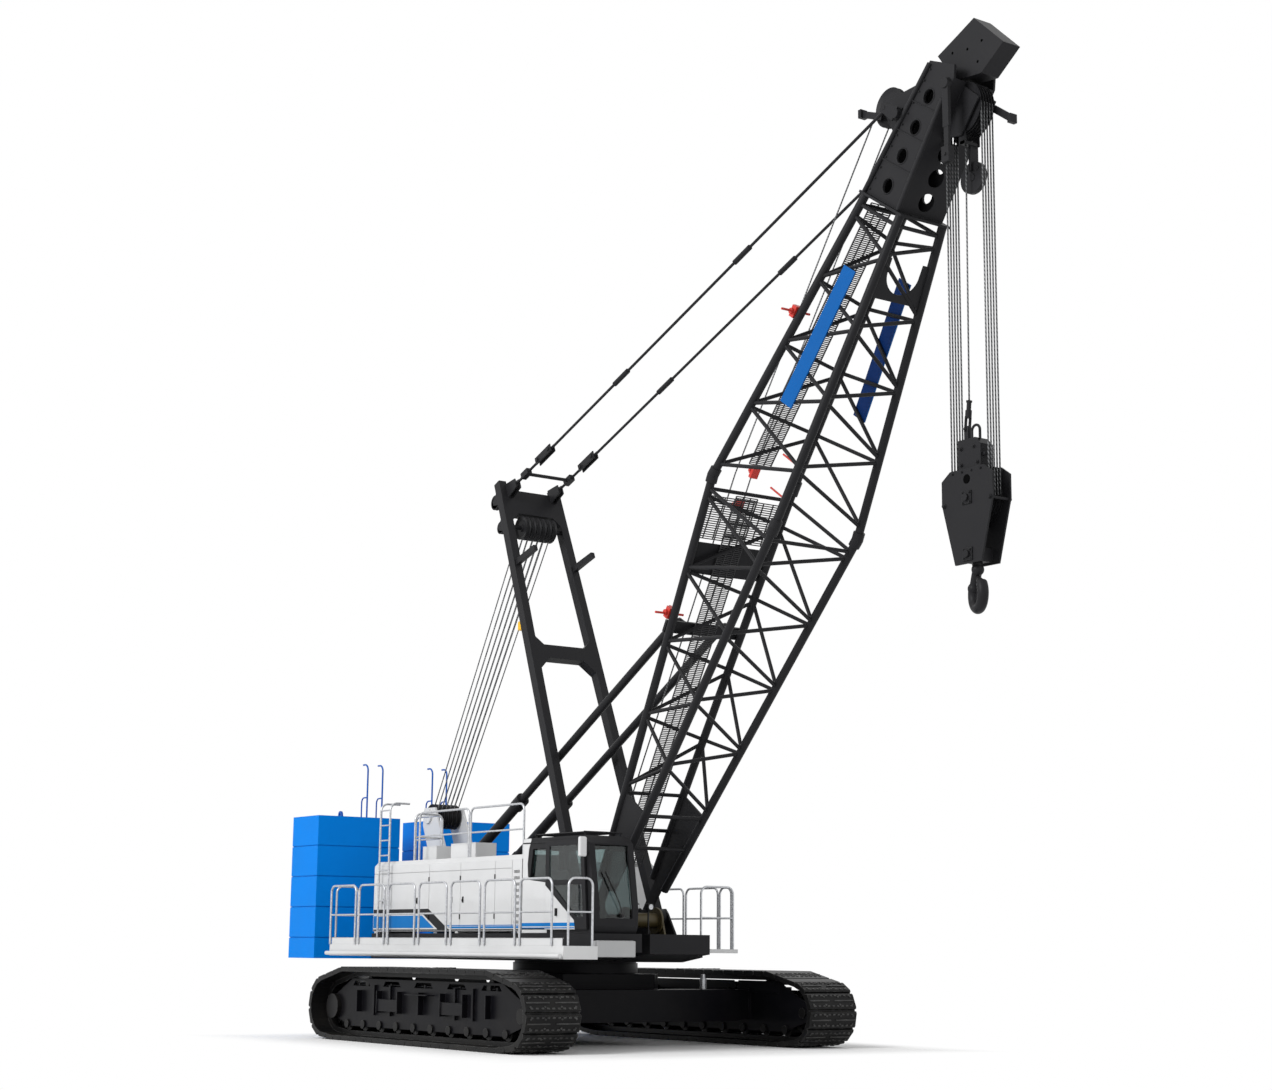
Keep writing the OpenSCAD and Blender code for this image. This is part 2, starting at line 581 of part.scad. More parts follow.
module walkways() color(c_white) placed() {
    box([walk_back, -walk_edge + 90, walk_low - 120], [walk_front, -deck_out - gap, walk_high]);
    tube([walk_back, -walk_edge + 20, walk_low - 70], [walk_front, -walk_edge + 20, walk_low - 70], 76);
    for (i = [0:6]) box([walk_back + 300 + i * 1200, -walk_edge + 20, walk_low - 95],
        [walk_back + 380 + i * 1200, -walk_edge + 91, walk_low - 45]);
    box([house_back, deck_out + gap, walk_low], [left_front + 60, deck_out + 420, walk_high]);
    box([left_front + 60 + gap, deck_half + gap, walk_low], [2500, deck_out - 120, walk_low + 70]);
}
module hoop(w, h, mid = true) {
    r = 130;
    tube([0, 0, 0], [0, 0, h - r], rail_dia);
    tube([w, 0, 0], [w, 0, h - r], rail_dia);
    tube([r, 0, h], [w - r, 0, h], rail_dia);
    translate([w - r, 0, h - r]) rotate([90, 0, 0]) rotate_extrude(angle = 90)
        translate([r, 0]) circle(d = rail_dia);
    translate([r, 0, h - r]) rotate([90, 0, 0]) rotate([0, 0, 90]) rotate_extrude(angle = 90)
        translate([r, 0]) circle(d = rail_dia);
    if (mid) tube([0, 0, h * 0.5], [w, 0, h * 0.5], rail_dia * 0.8);
}
hoop_wide = 1000;
rail_y = -walk_edge + 75;
module rails_right() color(c_steel) placed() {
    for (i = [0:5]) translate([-3500 + i * 1160, rail_y, walk_high + gap]) hoop(hoop_wide, rail_high);
    translate([walk_back + 40, rail_y, walk_high + gap]) hoop(1020, rail_high);
    for (x = [walk_back + 30, walk_front - 30]) translate([x, rail_y + 120, walk_high + gap])
        rotate([0, 0, 90]) hoop(480, rail_high);
}
module rails_roof() color(c_steel) placed() {
    translate([-2710, -house_side + 120, house_high + gap]) hoop(1850, 900);
    translate([-800, -house_side + 120, house_high + gap]) hoop(1850, 900);
    translate([-4150, -house_in - 60, house_high + gap]) hoop(1000, 900);
    translate([-3000, -house_side + 180, house_high + gap]) rotate([0, 0, 90]) hoop(600, 900);
}
module rails_left() color(c_steel) placed() {
    translate([2440, deck_half + 80, walk_low + 70 + gap]) rotate([0, 0, 90]) hoop(720, 1100);
    for (x = [-60, 1000]) translate([x, deck_out - 180, walk_low + 70 + gap]) hoop(980, 1100);
    translate([2040, deck_out - 180, walk_low + 70 + gap]) hoop(340, 1100);
    translate([-1900, deck_out + 380, walk_high + gap]) hoop(980, rail_high);
}
module access_ladder() color(c_steel) placed() {
    for (x = [-3900, -3520]) {
        tube([x, -house_side - 90, walk_high + gap], [x, -house_side - 90, 4300], rail_dia);
        translate([x, -house_side - 90 + 150, 4300]) rotate([90, 0, -90])
            rotate_extrude(angle = 90) translate([150, 0]) circle(d = rail_dia);
        tube([x, -house_side + 60, 4450], [x, -house_side + 330, 4450], rail_dia);
    }
    for (i = [0:8]) tube([-3900, -house_side - 90, walk_high + 250 + i * 290],
        [-3520, -house_side - 90, walk_high + 250 + i * 290], 28);
}
gantry_x = -5000;
gantry_z = 4330;
module rear_gantry() color(c_white) placed() {
    both() side_plate(300, 345) polygon([[gantry_x + 320, deck_high + gap],
        [gantry_x + 1420, deck_high + gap], [gantry_x + 870, 3300],
        [gantry_x + 240, gantry_z + 170], [gantry_x - 190, gantry_z + 170], [gantry_x - 230, gantry_z - 180],
        [gantry_x + 290, 3000]]);
    both() cross_bar(gantry_x, gantry_z, 285, 385, 150);
    cross_bar(gantry_x + 620, 3100, -310, 310, 60);
    cross_bar(gantry_x + 920, 2300, -310, 310, 60);
}
module sheave_row(n, step, r, groove, x, z) for (i = [0:n - 1]) translate([x, (i - (n - 1) / 2) * step, z])
    rotate([90, 0, 0]) rotate_extrude() polygon([[45, -step * 0.45], [r * 0.3, -step * 0.45],
        [r * 0.34, -step * 0.2], [r - groove - 40, -step * 0.2], [r, -step * 0.42], [r, -step * 0.36],
        [r - groove, -groove * 0.42], [r - groove, groove * 0.42], [r, step * 0.36], [r, step * 0.42],
        [r - groove - 40, step * 0.2], [r * 0.34, step * 0.2], [r * 0.3, step * 0.45], [45, step * 0.45]]);
module gantry_sheaves() color(c_dark) placed() {
    sheave_row(6, 92, 250, 32, gantry_x, gantry_z);
    cross_bar(gantry_x, gantry_z, -284.5, 284.5, 44.5);
}
module backstop_posts() color(c_dark) placed() both() {
    for (s = [-1, 1]) side_plate(stop_y + s * 130 - 20, stop_y + s * 130 + 20)
        polygon([[stop_x + 80, deck_high + gap], [stop_x + 800, deck_high + gap],
        [stop_x + 110, stop_z + 60], [stop_x + 50, stop_z + 110], [stop_x - 50, stop_z + 110],
        [stop_x - 110, stop_z + 30], [stop_x - 110, stop_z - 60]]);
    cross_bar(stop_x, stop_z, stop_y - 150, stop_y + 150, 45);
}

leg = 165;
leg_half = 95;
boss_half = 110;
arm_s = mast_long - 1870;
function leg_mid(s) = mix(foot_half + 285, 620, s / mast_long);
module mast_hole(s0, s1, c) polygon([[s0 + c, -(leg_mid(s0) - leg / 2)], [s0, -(leg_mid(s0) - leg / 2) + c],
    [s0, leg_mid(s0) - leg / 2 - c], [s0 + c, leg_mid(s0) - leg / 2], [s1 - c, leg_mid(s1) - leg / 2],
    [s1, leg_mid(s1) - leg / 2 - c], [s1, -(leg_mid(s1) - leg / 2) + c], [s1 - c, -(leg_mid(s1) - leg / 2)]]);
cover_s = mast_long - 700;
win_low = 5480;
win_high = cover_s - 30;
win_corner = 160;
function win_edge(s) = mix(leg_mid(win_low), leg_mid(win_high),
    (s - win_low - win_corner) / (win_high - win_low - 2 * win_corner)) - leg / 2;
module mast_frame() color(c_dark) placed() in_mast() difference() {
    union() {
        translate([0, 0, -leg_half]) linear_extrude(2 * leg_half) difference() {
            polygon([[0, -(leg_mid(0) + leg / 2)], [mast_long, -(leg_mid(mast_long) + leg / 2)],
                [mast_long, leg_mid(mast_long) + leg / 2], [0, leg_mid(0) + leg / 2]]);
            mast_hole(-600, 5200, 240);
            mast_hole(win_low, win_high, win_corner);
            mast_hole(mast_long - 190, mast_long + 400, 60);
        }
        both() cross_bar(0, 0, leg_mid(0) - boss_half, leg_mid(0) + boss_half, 150);
        for (y = [stay_y - 60, stay_y + 35]) both() side_plate(y, y + 25)
            polygon([[mast_pin_s - 160, 30 - leg_half], [mast_pin_s - 110, mast_pin_n - 90],
                [mast_pin_s + 80, mast_pin_n - 90], [mast_pin_s + 160, 30 - leg_half]]);
        both() cross_bar(mast_pin_s, mast_pin_n, stay_y - 60, stay_y + 60, 34);
        both() side_plate(leg_mid(arm_s) - 40, leg_mid(arm_s) + 40) polygon([[arm_s - 65, 20 - leg_half],
            [arm_s - 120, -760], [arm_s - 10, -760], [arm_s + 65, 20 - leg_half]]);
    }
    both() cross_bar(0, 0, 0, 1400, 61);
}
mast_sheave_s = cover_s - 300;
shaft_end = win_edge(mast_sheave_s + 45) - gap;
module mast_sheaves() color(c_dark) placed() in_mast() {
    sheave_row(6, 120, 235, 32, mast_sheave_s, 0);
    cross_bar(mast_sheave_s, 0, -shaft_end, shaft_end, 44.5);
}
stay_long = norm([stay_x - mast_pin_x, stay_z - mast_pin_z]);
stay_tilt = atan2(stay_z - mast_pin_z, stay_x - mast_pin_x);
module pendants() color(c_dark) placed() both() translate([mast_pin_x, stay_y, mast_pin_z])
    rotate([0, -stay_tilt, 0]) difference() {
        union() {
            cross_bar(0, 0, -28, 28, 85);
            cross_bar(stay_long, 0, -28, 28, 85);
            tube([60, 0, 0], [stay_long - 60, 0, 0], 52);
            for (s = [0.33, 0.66]) tube([stay_long * s - 230, 0, 0], [stay_long * s + 230, 0, 0], 96);
        }
        for (x = [0, stay_long]) cross_bar(x, 0, -50, 50, 35);
    }
stop_long = norm([stop_top_x - stop_x, stop_top_z - stop_z]);
stop_tilt = atan2(stop_top_z - stop_z, stop_top_x - stop_x);
barrel_long = 3400;
module in_stop() placed() both() translate([stop_x, stop_y, stop_z]) rotate([0, -stop_tilt, 0]) children();
module backstop_barrels() color(c_dark) in_stop() difference() {
    union() {
        cross_bar(0, 0, -60, 60, 100);
        tube([60, 0, 0], [barrel_long, 0, 0], 200);
        tube([barrel_long - 260, 0, 0], [barrel_long, 0, 0], 260);
        for (i = [0:7]) tube([420 + i * 130, 0, 0], [490 + i * 130, 0, 0], 236);
    }
    tube([bore_start, 0, 0], [barrel_long + 1, 0, 0], rod_dia + 11);
    cross_bar(0, 0, -80, 80, 46);
}
rod_dia = 150;
rod_long = 7000;
bore_start = 400;
module backstop_rods() color(c_dark) in_stop() difference() {
    union() {
        cross_bar(stop_long, 0, -45, 45, 85);
        tube([stop_long - 260, 0, 0], [stop_long - 40, 0, 0], 88);
        tube([stop_long - rod_long, 0, 0], [stop_long - 250, 0, 0], rod_dia);
    }
    cross_bar(stop_long, 0, -80, 80, 41);
}

// One brace cut off flush with the chords it joins
brace_seat = (chord_r + gap) / cos(butt_slope);
module side_slab(s0, s1) side_plate(-1500, 1500) polygon([[s0, -half_depth(s0) + brace_seat],
    [s1, -half_depth(s1) + brace_seat], [s1, half_depth(s1) - brace_seat],
    [s0, half_depth(s0) - brace_seat]]);
module flat_slab(s0, s1) translate([0, 0, -1500]) linear_extrude(3000)
    polygon([[s0, -half_width(s0) + brace_seat], [s1, -half_width(s1) + brace_seat],
        [s1, half_width(s1) - brace_seat], [s0, half_width(s0) - brace_seat]]);
clear = 34;
module brace(a, b) tube(a, b, brace_dia);
// One panel on all four faces, each face with a long and a short brace
module panel_braces(s0, step) {
    s1 = s0 + long_brace * step;
    for (k = [-1, 1]) {
        intersection() {
            union() {
                brace(chord_at(s0 + clear, k, -k), chord_at(s1 - clear, k, k));
                brace(chord_at(s1 + clear, k, k), chord_at(s0 + step - clear, k, -k));
            }
            side_slab(s0 - 100, s0 + step + 100);
        }
        intersection() {
            union() {
                brace(chord_at(s0 + clear, -k, k), chord_at(s1 - clear, k, k));
                brace(chord_at(s1 + clear, k, k), chord_at(s0 + step - clear, -k, k));
            }
            flat_slab(s0 - 100, s0 + step + 100);
        }
    }
}
module lattice(s0, step, n) for (i = [0:n - 1]) panel_braces(s0 + i * step, step);
module flat_strut(s, top) intersection() {
    tube(chord_at(s, -1, top), chord_at(s, 1, top), brace_dia);
    flat_slab(s - 100, s + 100);
}
module side_strut(s, side) intersection() {
    tube(chord_at(s, side, -1), chord_at(s, side, 1), brace_dia);
    side_slab(s - 100, s + 100);
}
module square_frame(s) for (k = [-1, 1]) {
    flat_strut(s, k);
    side_strut(s, k);
}
butt_step = (joint_s - 340 - 2460) / 4;
butt_first = joint_s - 340 - 4 * butt_step;
tip_first = joint_s + 180;
tip_step = (head_s - 330 - tip_first) / 4;
web_end = butt_first - 90;
function web_edge(s) = half_depth(s) - brace_seat;
module foot_web() difference() {
    union() {
        rotate([0, 0, atan2(joint_half - foot_half, joint_s)]) side_plate(-18, 18)
            polygon([[0, -100], [690, -web_edge(690)], [web_end, -web_edge(web_end)],
                [web_end, web_edge(web_end)], [690, web_edge(690)], [0, 100]]);
        cross_bar(0, 0, -100, 100, 128);
    }
    cross_bar(0, 0, -120, 120, 61);
}
// Chords of one boom section with their joint collars, cut square to the boom at both ends
module chords(s0, s1, collar_at_end) intersection() {
    for (k = [-1, 1]) for (m = [-1, 1]) {
        a = chord_at(s0, k, m);
        b = chord_at(s1, k, m);
        u = (b - a) / norm(b - a);
        tube(a - 60 * u, b + 60 * u, chord_dia);
        if (collar_at_end) tube(b - 130 * u, b + 60 * u, chord_dia + 54);
        else tube(a - 60 * u, a + 130 * u, chord_dia + 54);
    }
    box([s0, -2000, -2000], [s1, 2000, 2000]);
}
module boom_butt() color(c_dark) placed() in_boom() {
    chords(700, joint_s - gap / 2, true);
    both() translate([0, foot_half, 0]) foot_web();
    lattice(butt_first, butt_step, 4);
    for (m = [-1, 1]) {
        flat_strut(1640, m);
        flat_strut(butt_first - 120, m);
        flat_strut(joint_s - 240, m);
        side_strut(joint_s - 240, m);
    }
    translate([joint_s, 0, joint_depth]) rotate([0, -butt_slope, 0])
        box([-1790, -half_width(deck_s), chord_r + gap], [-1220, half_width(deck_s), chord_r + 14]);
    translate([stop_s, 0, half_depth(stop_s)]) rotate([0, -butt_slope, 0])
        box([-110, -half_width(stop_s) - 60, chord_r + gap], [110, half_width(stop_s) + 60, chord_r + 60]);
    both() for (s = [-1, 1]) side_plate(stop_y + s * 88 - 18, stop_y + s * 88 + 18)
        polygon([[stop_s - 105, stop_n - 150], [stop_s + 95, stop_n - 130], [stop_s + 75, stop_n + 60],
            [stop_s - 75, stop_n + 60]]);
    both() cross_bar(stop_s, stop_n, stop_y - 120, stop_y + 120, 40);
}
deck_s = joint_s - 1500;
module boom_tip() color(c_dark) placed() in_boom() {
    chords(joint_s + gap / 2, head_s - gap, false);
    lattice(tip_first, tip_step, 4);
    square_frame(head_s - 170);
    portal();
}
// Arched gusset plate between the two lower chords near the head
portal_s = tip_first + 3.2 * tip_step;
module portal() intersection() {
    translate([portal_s, 0, -half_depth(portal_s)]) rotate([0, tip_slope, 0]) translate([-portal_s, 0, -9])
        linear_extrude(18) difference() {
            polygon([[portal_s - 60, -900], [portal_s + 620, -900], [portal_s + 620, 900],
                [portal_s - 60, 900]]);
            translate([portal_s + 400, 0]) circle(r = 330);
            polygon([[portal_s + 400, -330], [portal_s + 800, -330], [portal_s + 800, 330],
                [portal_s + 400, 330]]);
        }
    flat_slab(portal_s - 100, portal_s + 700);
}
// Side plate of the head from the bulkhead to the nose, with its round holes
nose = 2440;
nose_n = 250;
tail_n = 600;
head_plate = [[40, -440], [nose - 180, -440], [nose, -340], [nose - 110, nose_n], [40, tail_n]];
module head_shape() difference() {
    polygon(head_plate);
    for (h = [[300, 70], [820, 20], [1310, -20], [1830, -50]]) translate(h) circle(r = 115);
}
idler_s = head_s + 1370;
idler_n = 980;
idler_y = -230;
carrier_in = 160;
beam_n = 430;
module boom_head() color(c_dark) placed() in_boom() {
    translate([head_s, 0, 0]) rotate([90, 0, 90]) linear_extrude(40) square([2 * head_half + 150,
        2 * head_depth + 200], center = true);
    both() translate([head_s, 0, 0]) side_plate(400, 440) head_shape();
    translate([head_s, 0, 0]) side_plate(-401, 401) polygon([[39, tail_n - 18], [nose - 110, nose_n - 18],
        [nose - 110, nose_n], [39, tail_n]]);
    front_plate();
    both() sheave_carrier();
    cross_bar(stay_s, beam_n, -575, 575, 75);
    both() for (y = [stay_y - 60, stay_y + 40]) side_plate(y, y + 25) polygon([[stay_s - 120, beam_n],
        [stay_s + 120, beam_n], [stay_s + 70, stay_n + 80], [stay_s - 70, stay_n + 80]]);
    both() cross_bar(stay_s, stay_n, stay_y - 70, stay_y + 70, 34);
    for (y = [idler_y - 90, idler_y + 70]) side_plate(y, y + 20) polygon([[idler_s - 420, 380],
        [idler_s + 700, 250], [idler_s + 70, idler_n + 80], [idler_s - 70, idler_n + 80]]);
    cross_bar(head_s + 2240, 60, -420, 420, 60);
}
// Plate that carries the hoist sheaves, with the strip that ties it to the side plate
module sheave_carrier() {
    translate([head_s, 0, 0]) side_plate(carrier_in, carrier_in + 30) polygon([[1300, -300],
        [1300, -440], [1490, -820], [2140, -860], [2200, -300]]);
    box([head_s + 1279, carrier_in + 10, -440], [head_s + 2250, 401, -422]);
}
// Lower closing plate of the head with three round holes
module front_plate() translate([head_s, 0, -440]) difference() {
    box([39, -401, 0], [1280, 401, 18]);
    for (x = [280, 690, 1090]) translate([x, 0, -1]) cylinder(h = 30, r = 150);
}
rope_step = 58;
module head_sheaves() color(c_dark) placed() in_boom() {
    sheave_row(sheave_count, rope_step, sheave_radius, 40, head_sheave_s, head_sheave_n);
    cross_bar(head_sheave_s, head_sheave_n, gap - carrier_in, carrier_in - gap, 44.5);
    translate([0, idler_y, 0]) {
        sheave_row(1, 100, 330, 36, idler_s, idler_n);
        cross_bar(idler_s, idler_n, -69.5, 69.5, 44.5);
    }
}
// Closed box at the very tip, hollow, with its pin holes through both sides
aux_plan = [[aux_s - 840, -190], [aux_s - 560, -aux_n + 200], [aux_s, -aux_n], [aux_s + 140, -40],
    [aux_s - 220, 180], [aux_s - 620, 430]];
module aux_head() color(c_dark) placed() in_boom() difference() {
    side_plate(-180, 180) polygon(aux_plan);
    side_plate(-155, 155) polygon(inset(aux_plan, 22));
    cross_bar(head_s + 2240, 60, -200, 200, 60 + gap);
    box([aux_s - 900, -120, -180], [aux_s - 610, 120, 380]);
    for (h = [[-330, -180], [-120, -420], [-480, 120], [-430, -520]])
        cross_bar(aux_s + h[0], h[1], -200, 200, 24);
}
strip = 230;
module boom_walkway() color(c_grey) placed() in_boom() {
    translate([0, 0, foot_depth]) rotate([0, -butt_slope, 0])
        box([900, -strip, brace_dia / 2 + gap], [joint_s - 320, strip, brace_dia / 2 + 30]);
    translate([joint_s, 0, joint_depth]) {
        rotate([0, -butt_slope, 0]) box([-1150, -half_width(joint_s - 400), chord_r + gap],
            [-390, half_width(joint_s - 400), chord_r + 28]);
        rotate([0, -tip_slope, 0]) box([300, -strip, brace_dia / 2 + gap],
            [head_s - joint_s - 110, strip, brace_dia / 2 + 30]);
    }
}
board_s = joint_s + 1760;
board_long = head_s - board_s - 1110;
board_turn = atan2(joint_half - head_half, head_s - joint_s);
module sign_boards() color(c_blue) placed() in_boom() both()
    translate([board_s, half_width(board_s), 0]) rotate([0, 0, -board_turn])
        box([0, brace_dia / 2 + gap, -165], [board_long, brace_dia / 2 + 25, 165]);
post_seat = 3;
// Clamp and cross handle on the right upper chord
module handle(s) translate([s, -half_width(s), half_depth(s)])
    rotate([0, s < joint_s ? -butt_slope : -tip_slope, 0]) translate([0, 0, chord_r + gap]) {
    box([-60, -50, 0], [60, 50, 50]);
    tube([0, -330, 26], [0, 260, 26], 40);
}
module lifeline_posts() color(c_red) placed() in_boom() {
    handle(joint_s - 2560);
    handle(head_s - 2210);
    for (s = [joint_s - 270, joint_s + 380])
        tube([s, half_width(s), half_depth(s) + chord_r + post_seat],
            [s, half_width(s), half_depth(s) + 620], 36);
}

rope_out = sheave_radius - 40 + rope_dia / 2 + gap;
block_axis = hook_low + 1745;
row_half = (sheave_count - 1) / 2;
module hoist_ropes() color(c_steel) placed() for (i = [0:sheave_count - 1]) for (s = [-1, 1])
    translate([hook_x + s * rope_out, (i - row_half) * rope_step, block_axis])
        cylinder(h = hoist_z - block_axis, d = rope_dia);
block_half = sheave_count * rope_step / 2 + 20;
block_low = hook_low + 745;
block_high = block_axis + sheave_radius + 30;
cheek_plan = [[-280, block_low], [280, block_low], [545, block_high - 490], [545, block_high - 130],
    [360, block_high], [-360, block_high], [-545, block_high - 130], [-545, block_high - 490]];
module hook_block() color(c_dark) placed() translate([hook_x, 0, 0]) {
    both() side_plate(block_half, block_half + 30) polygon(cheek_plan);
    cross_bar(0, block_axis, -block_half - 50, block_half + 50, 44.5);
    cross_bar(0, block_low + 140, -block_half - 60, block_half + 60, 60);
    box([-150, -block_half - 1, block_low + 30], [150, block_half + 1, block_low + 240]);
    for (s = [-1, 1]) cross_bar(s * 490, block_axis - 60, -block_half - 1, block_half + 1, 24);
    box([-330, -block_half - 1, block_high - 25], [330, block_half + 1, block_high - 1]);
    side_plate(-130, 130) polygon([[-240, block_high - 2], [240, block_high - 2], [240, block_high + 360],
        [130, block_high + 470], [-240, block_high + 470]]);
}
module hook_sheaves() color(c_dark) placed()
    sheave_row(sheave_count, rope_step, sheave_radius, 40, hook_x, block_axis);
hook_mid = hook_low + 300;
hook_turn = -25;
// Single hook bent from a thick round bar, with a tapering point
module crane_hook() color(c_dark) placed() translate([hook_x, 0, hook_mid]) rotate([0, 0, hook_turn]) {
    rotate([90, 0, 0]) rotate([0, 0, 150]) rotate_extrude(angle = 250) translate([215, 0]) circle(r = 85);
    rotate([0, -40, 0]) translate([215, 0, -40]) rotate([0, -14, 0]) cylinder(h = 230, r1 = 78, r2 = 38);
    translate([-186.2, 0, 107.5]) sphere(r = 97);
    tube([-186.2, 0, 107.5], [0, 0, 400], 150);
    translate([0, 0, 380]) cylinder(h = block_low + 30 - gap - hook_mid - 380, r = 75);
    translate([0, 0, 370]) sphere(r = 96);
}

car_body();
slewing_ring();
axle_beams();
beam_jacks();
track_frame_right();
track_frame_left();
track_shoes_right();
track_shoes_left();
sprockets();
idlers();
lower_rollers();
carrier_rollers();
upper_frame();
side_decks();
foot_brackets();
house_right();
house_left();
engine_block();
exhaust_stack();
winch_drums();
counterweight_base();
counterweight_slabs();
counterweight_handles();
cab_shell();
cab_glass();
cab_seat();
cab_guard();
walkways();
rails_right();
rails_roof();
rails_left();
access_ladder();
rear_gantry();
gantry_sheaves();
backstop_posts();
cab_door();
door_glass();
mast_frame();
mast_sheaves();
pendants();
backstop_barrels();
backstop_rods();
boom_butt();
boom_tip();
boom_head();
head_sheaves();
aux_head();
boom_walkway();
sign_boards();
lifeline_posts();
hoist_ropes();
hook_block();
hook_sheaves();
crane_hook();
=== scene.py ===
import bpy
import bmesh
import json
import math
from mathutils import Matrix, Vector


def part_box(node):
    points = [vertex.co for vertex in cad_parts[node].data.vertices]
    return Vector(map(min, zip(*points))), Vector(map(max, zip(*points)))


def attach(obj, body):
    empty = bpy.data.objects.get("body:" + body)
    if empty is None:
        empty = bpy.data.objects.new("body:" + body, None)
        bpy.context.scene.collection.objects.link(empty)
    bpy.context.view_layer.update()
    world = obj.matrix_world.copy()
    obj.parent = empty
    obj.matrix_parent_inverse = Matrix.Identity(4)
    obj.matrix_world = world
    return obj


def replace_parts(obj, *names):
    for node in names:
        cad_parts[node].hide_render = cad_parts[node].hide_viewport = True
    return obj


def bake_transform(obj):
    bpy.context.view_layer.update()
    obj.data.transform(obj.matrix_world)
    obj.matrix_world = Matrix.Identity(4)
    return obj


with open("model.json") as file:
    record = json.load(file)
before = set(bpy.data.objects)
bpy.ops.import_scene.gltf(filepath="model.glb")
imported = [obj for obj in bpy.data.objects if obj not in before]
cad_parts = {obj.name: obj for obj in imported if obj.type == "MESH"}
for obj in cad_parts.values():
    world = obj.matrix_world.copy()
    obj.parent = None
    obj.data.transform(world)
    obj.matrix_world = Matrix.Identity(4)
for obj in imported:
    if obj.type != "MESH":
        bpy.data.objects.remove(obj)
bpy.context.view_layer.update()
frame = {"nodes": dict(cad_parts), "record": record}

jointAt = {joint["name"]: Vector(joint.get("pos_m", (0, 0, 0))) for joint in frame["record"]["behaviour"]["joints"]}
swingX = jointAt["swing"].x
footAt = jointAt["boom_luff"]


def addObject(name, data):
    item = bpy.data.objects.new(name, data)
    bpy.context.scene.collection.objects.link(item)
    return item


# camera at the photograph's viewpoint, placed from the swing axis
cameraFit = dict(place=(33.913, -22.407, 1.702), heading=55.077, pitch=10.576, roll=0.558, lens=61.21)


def setCamera(fit):
    turn, lift, lean = (math.radians(fit[k]) for k in ("heading", "pitch", "roll"))
    ahead = Vector((-math.sin(turn) * math.cos(lift), math.cos(turn) * math.cos(lift), math.sin(lift)))
    right = Vector((math.cos(turn), math.sin(turn), 0))
    up = right.cross(ahead)
    side = right * math.cos(lean) + up * math.sin(lean)
    top = up * math.cos(lean) - right * math.sin(lean)
    data = bpy.data.cameras.new("photoCamera")
    data.lens = fit["lens"]
    data.sensor_fit = "HORIZONTAL"
    data.sensor_width = 36
    data.clip_end = 400
    camera = addObject("photoCamera", data)
    camera.matrix_world = Matrix((side, top, -ahead)).transposed().to_4x4()
    camera.location = Vector(fit["place"]) + Vector((swingX, 0, 0))
    bpy.context.scene.camera = camera


setCamera(cameraFit)
print("camera set")

# shader tools: an input is a value, or a socket to link
def fill(tree, sockets, values):
    for name, value in values.items():
        if isinstance(value, bpy.types.NodeSocket):
            tree.links.new(value, sockets[name])
        else:
            sockets[name].default_value = value


def put(tree, kind, inputs=None, **settings):
    node = tree.nodes.new(kind)
    for name, value in settings.items():
        setattr(node, name, value)
    fill(tree, node.inputs, inputs or {})
    return node


def calc(tree, operation, a, b=0.0, c=0.0):
    return put(tree, "ShaderNodeMath", {0: a, 1: b, 2: c}, operation=operation).outputs[0]


def mixColor(tree, factor, a, b):
    return put(tree, "ShaderNodeMix", {0: factor, 6: a, 7: b}, data_type="RGBA").outputs[2]


def spread(tree, value, low, high):
    return put(tree, "ShaderNodeMapRange", {"Value": value, "From Min": low, "From Max": high},
               interpolation_type="SMOOTHSTEP").outputs["Result"]


def objectPlace(tree):
    return put(tree, "ShaderNodeTexCoord").outputs["Object"]


def texture(tree, kind, inputs, **settings):
    return put(tree, "ShaderNodeTex" + kind, {"Vector": objectPlace(tree), **inputs}, **settings).outputs


def useGroup(tree, group, inputs):
    return put(tree, "ShaderNodeGroup", inputs, node_tree=group).outputs


def newGroup(name, inputs, outputs):
    tree = bpy.data.node_groups.new(name, "ShaderNodeTree")
    for label, default in inputs.items():
        kind = "NodeSocketColor" if isinstance(default, tuple) else "NodeSocketFloat"
        tree.interface.new_socket(name=label, in_out="INPUT", socket_type=kind).default_value = default
    for label, kind in outputs.items():
        tree.interface.new_socket(name=label, in_out="OUTPUT", socket_type="NodeSocket" + kind)
    return tree, tree.nodes.new("NodeGroupInput").outputs, tree.nodes.new("NodeGroupOutput").inputs


# edge colour: worn paint along the edges, and on the dark track steels a painted highlight along them
def makeEdgeWearAndHighlight():
    tree, given, out = newGroup("edgeWearAndHighlight", {
        "Color": (0.5, 0.5, 0.5, 1), "Edge Color": (0.4, 0.4, 0.4, 1), "Radius": 0.012, "Amount": 0.5, "Scale": 6.0},
        {"Color": "Color", "Mask": "Float", "Normal": "Vector"})
    soft = put(tree, "ShaderNodeBevel", {"Radius": given["Radius"]}, samples=3).outputs[0]
    plain = put(tree, "ShaderNodeNewGeometry").outputs["Normal"]
    facing = put(tree, "ShaderNodeVectorMath", {0: soft, 1: plain}, operation="DOT_PRODUCT").outputs["Value"]
    edgeBreakup = texture(tree, "Noise", {"Scale": given["Scale"], "Detail": 6.0})["Fac"]
    edgeWornAndLit = calc(tree, "MULTIPLY", spread(tree, facing, 0.995, 0.80), spread(tree, edgeBreakup, 0.42, 0.62))
    mask = calc(tree, "MULTIPLY", edgeWornAndLit, given["Amount"])
    fill(tree, out, {"Color": mixColor(tree, mask, given["Color"], given["Edge Color"]), "Mask": mask, "Normal": soft})
    return tree


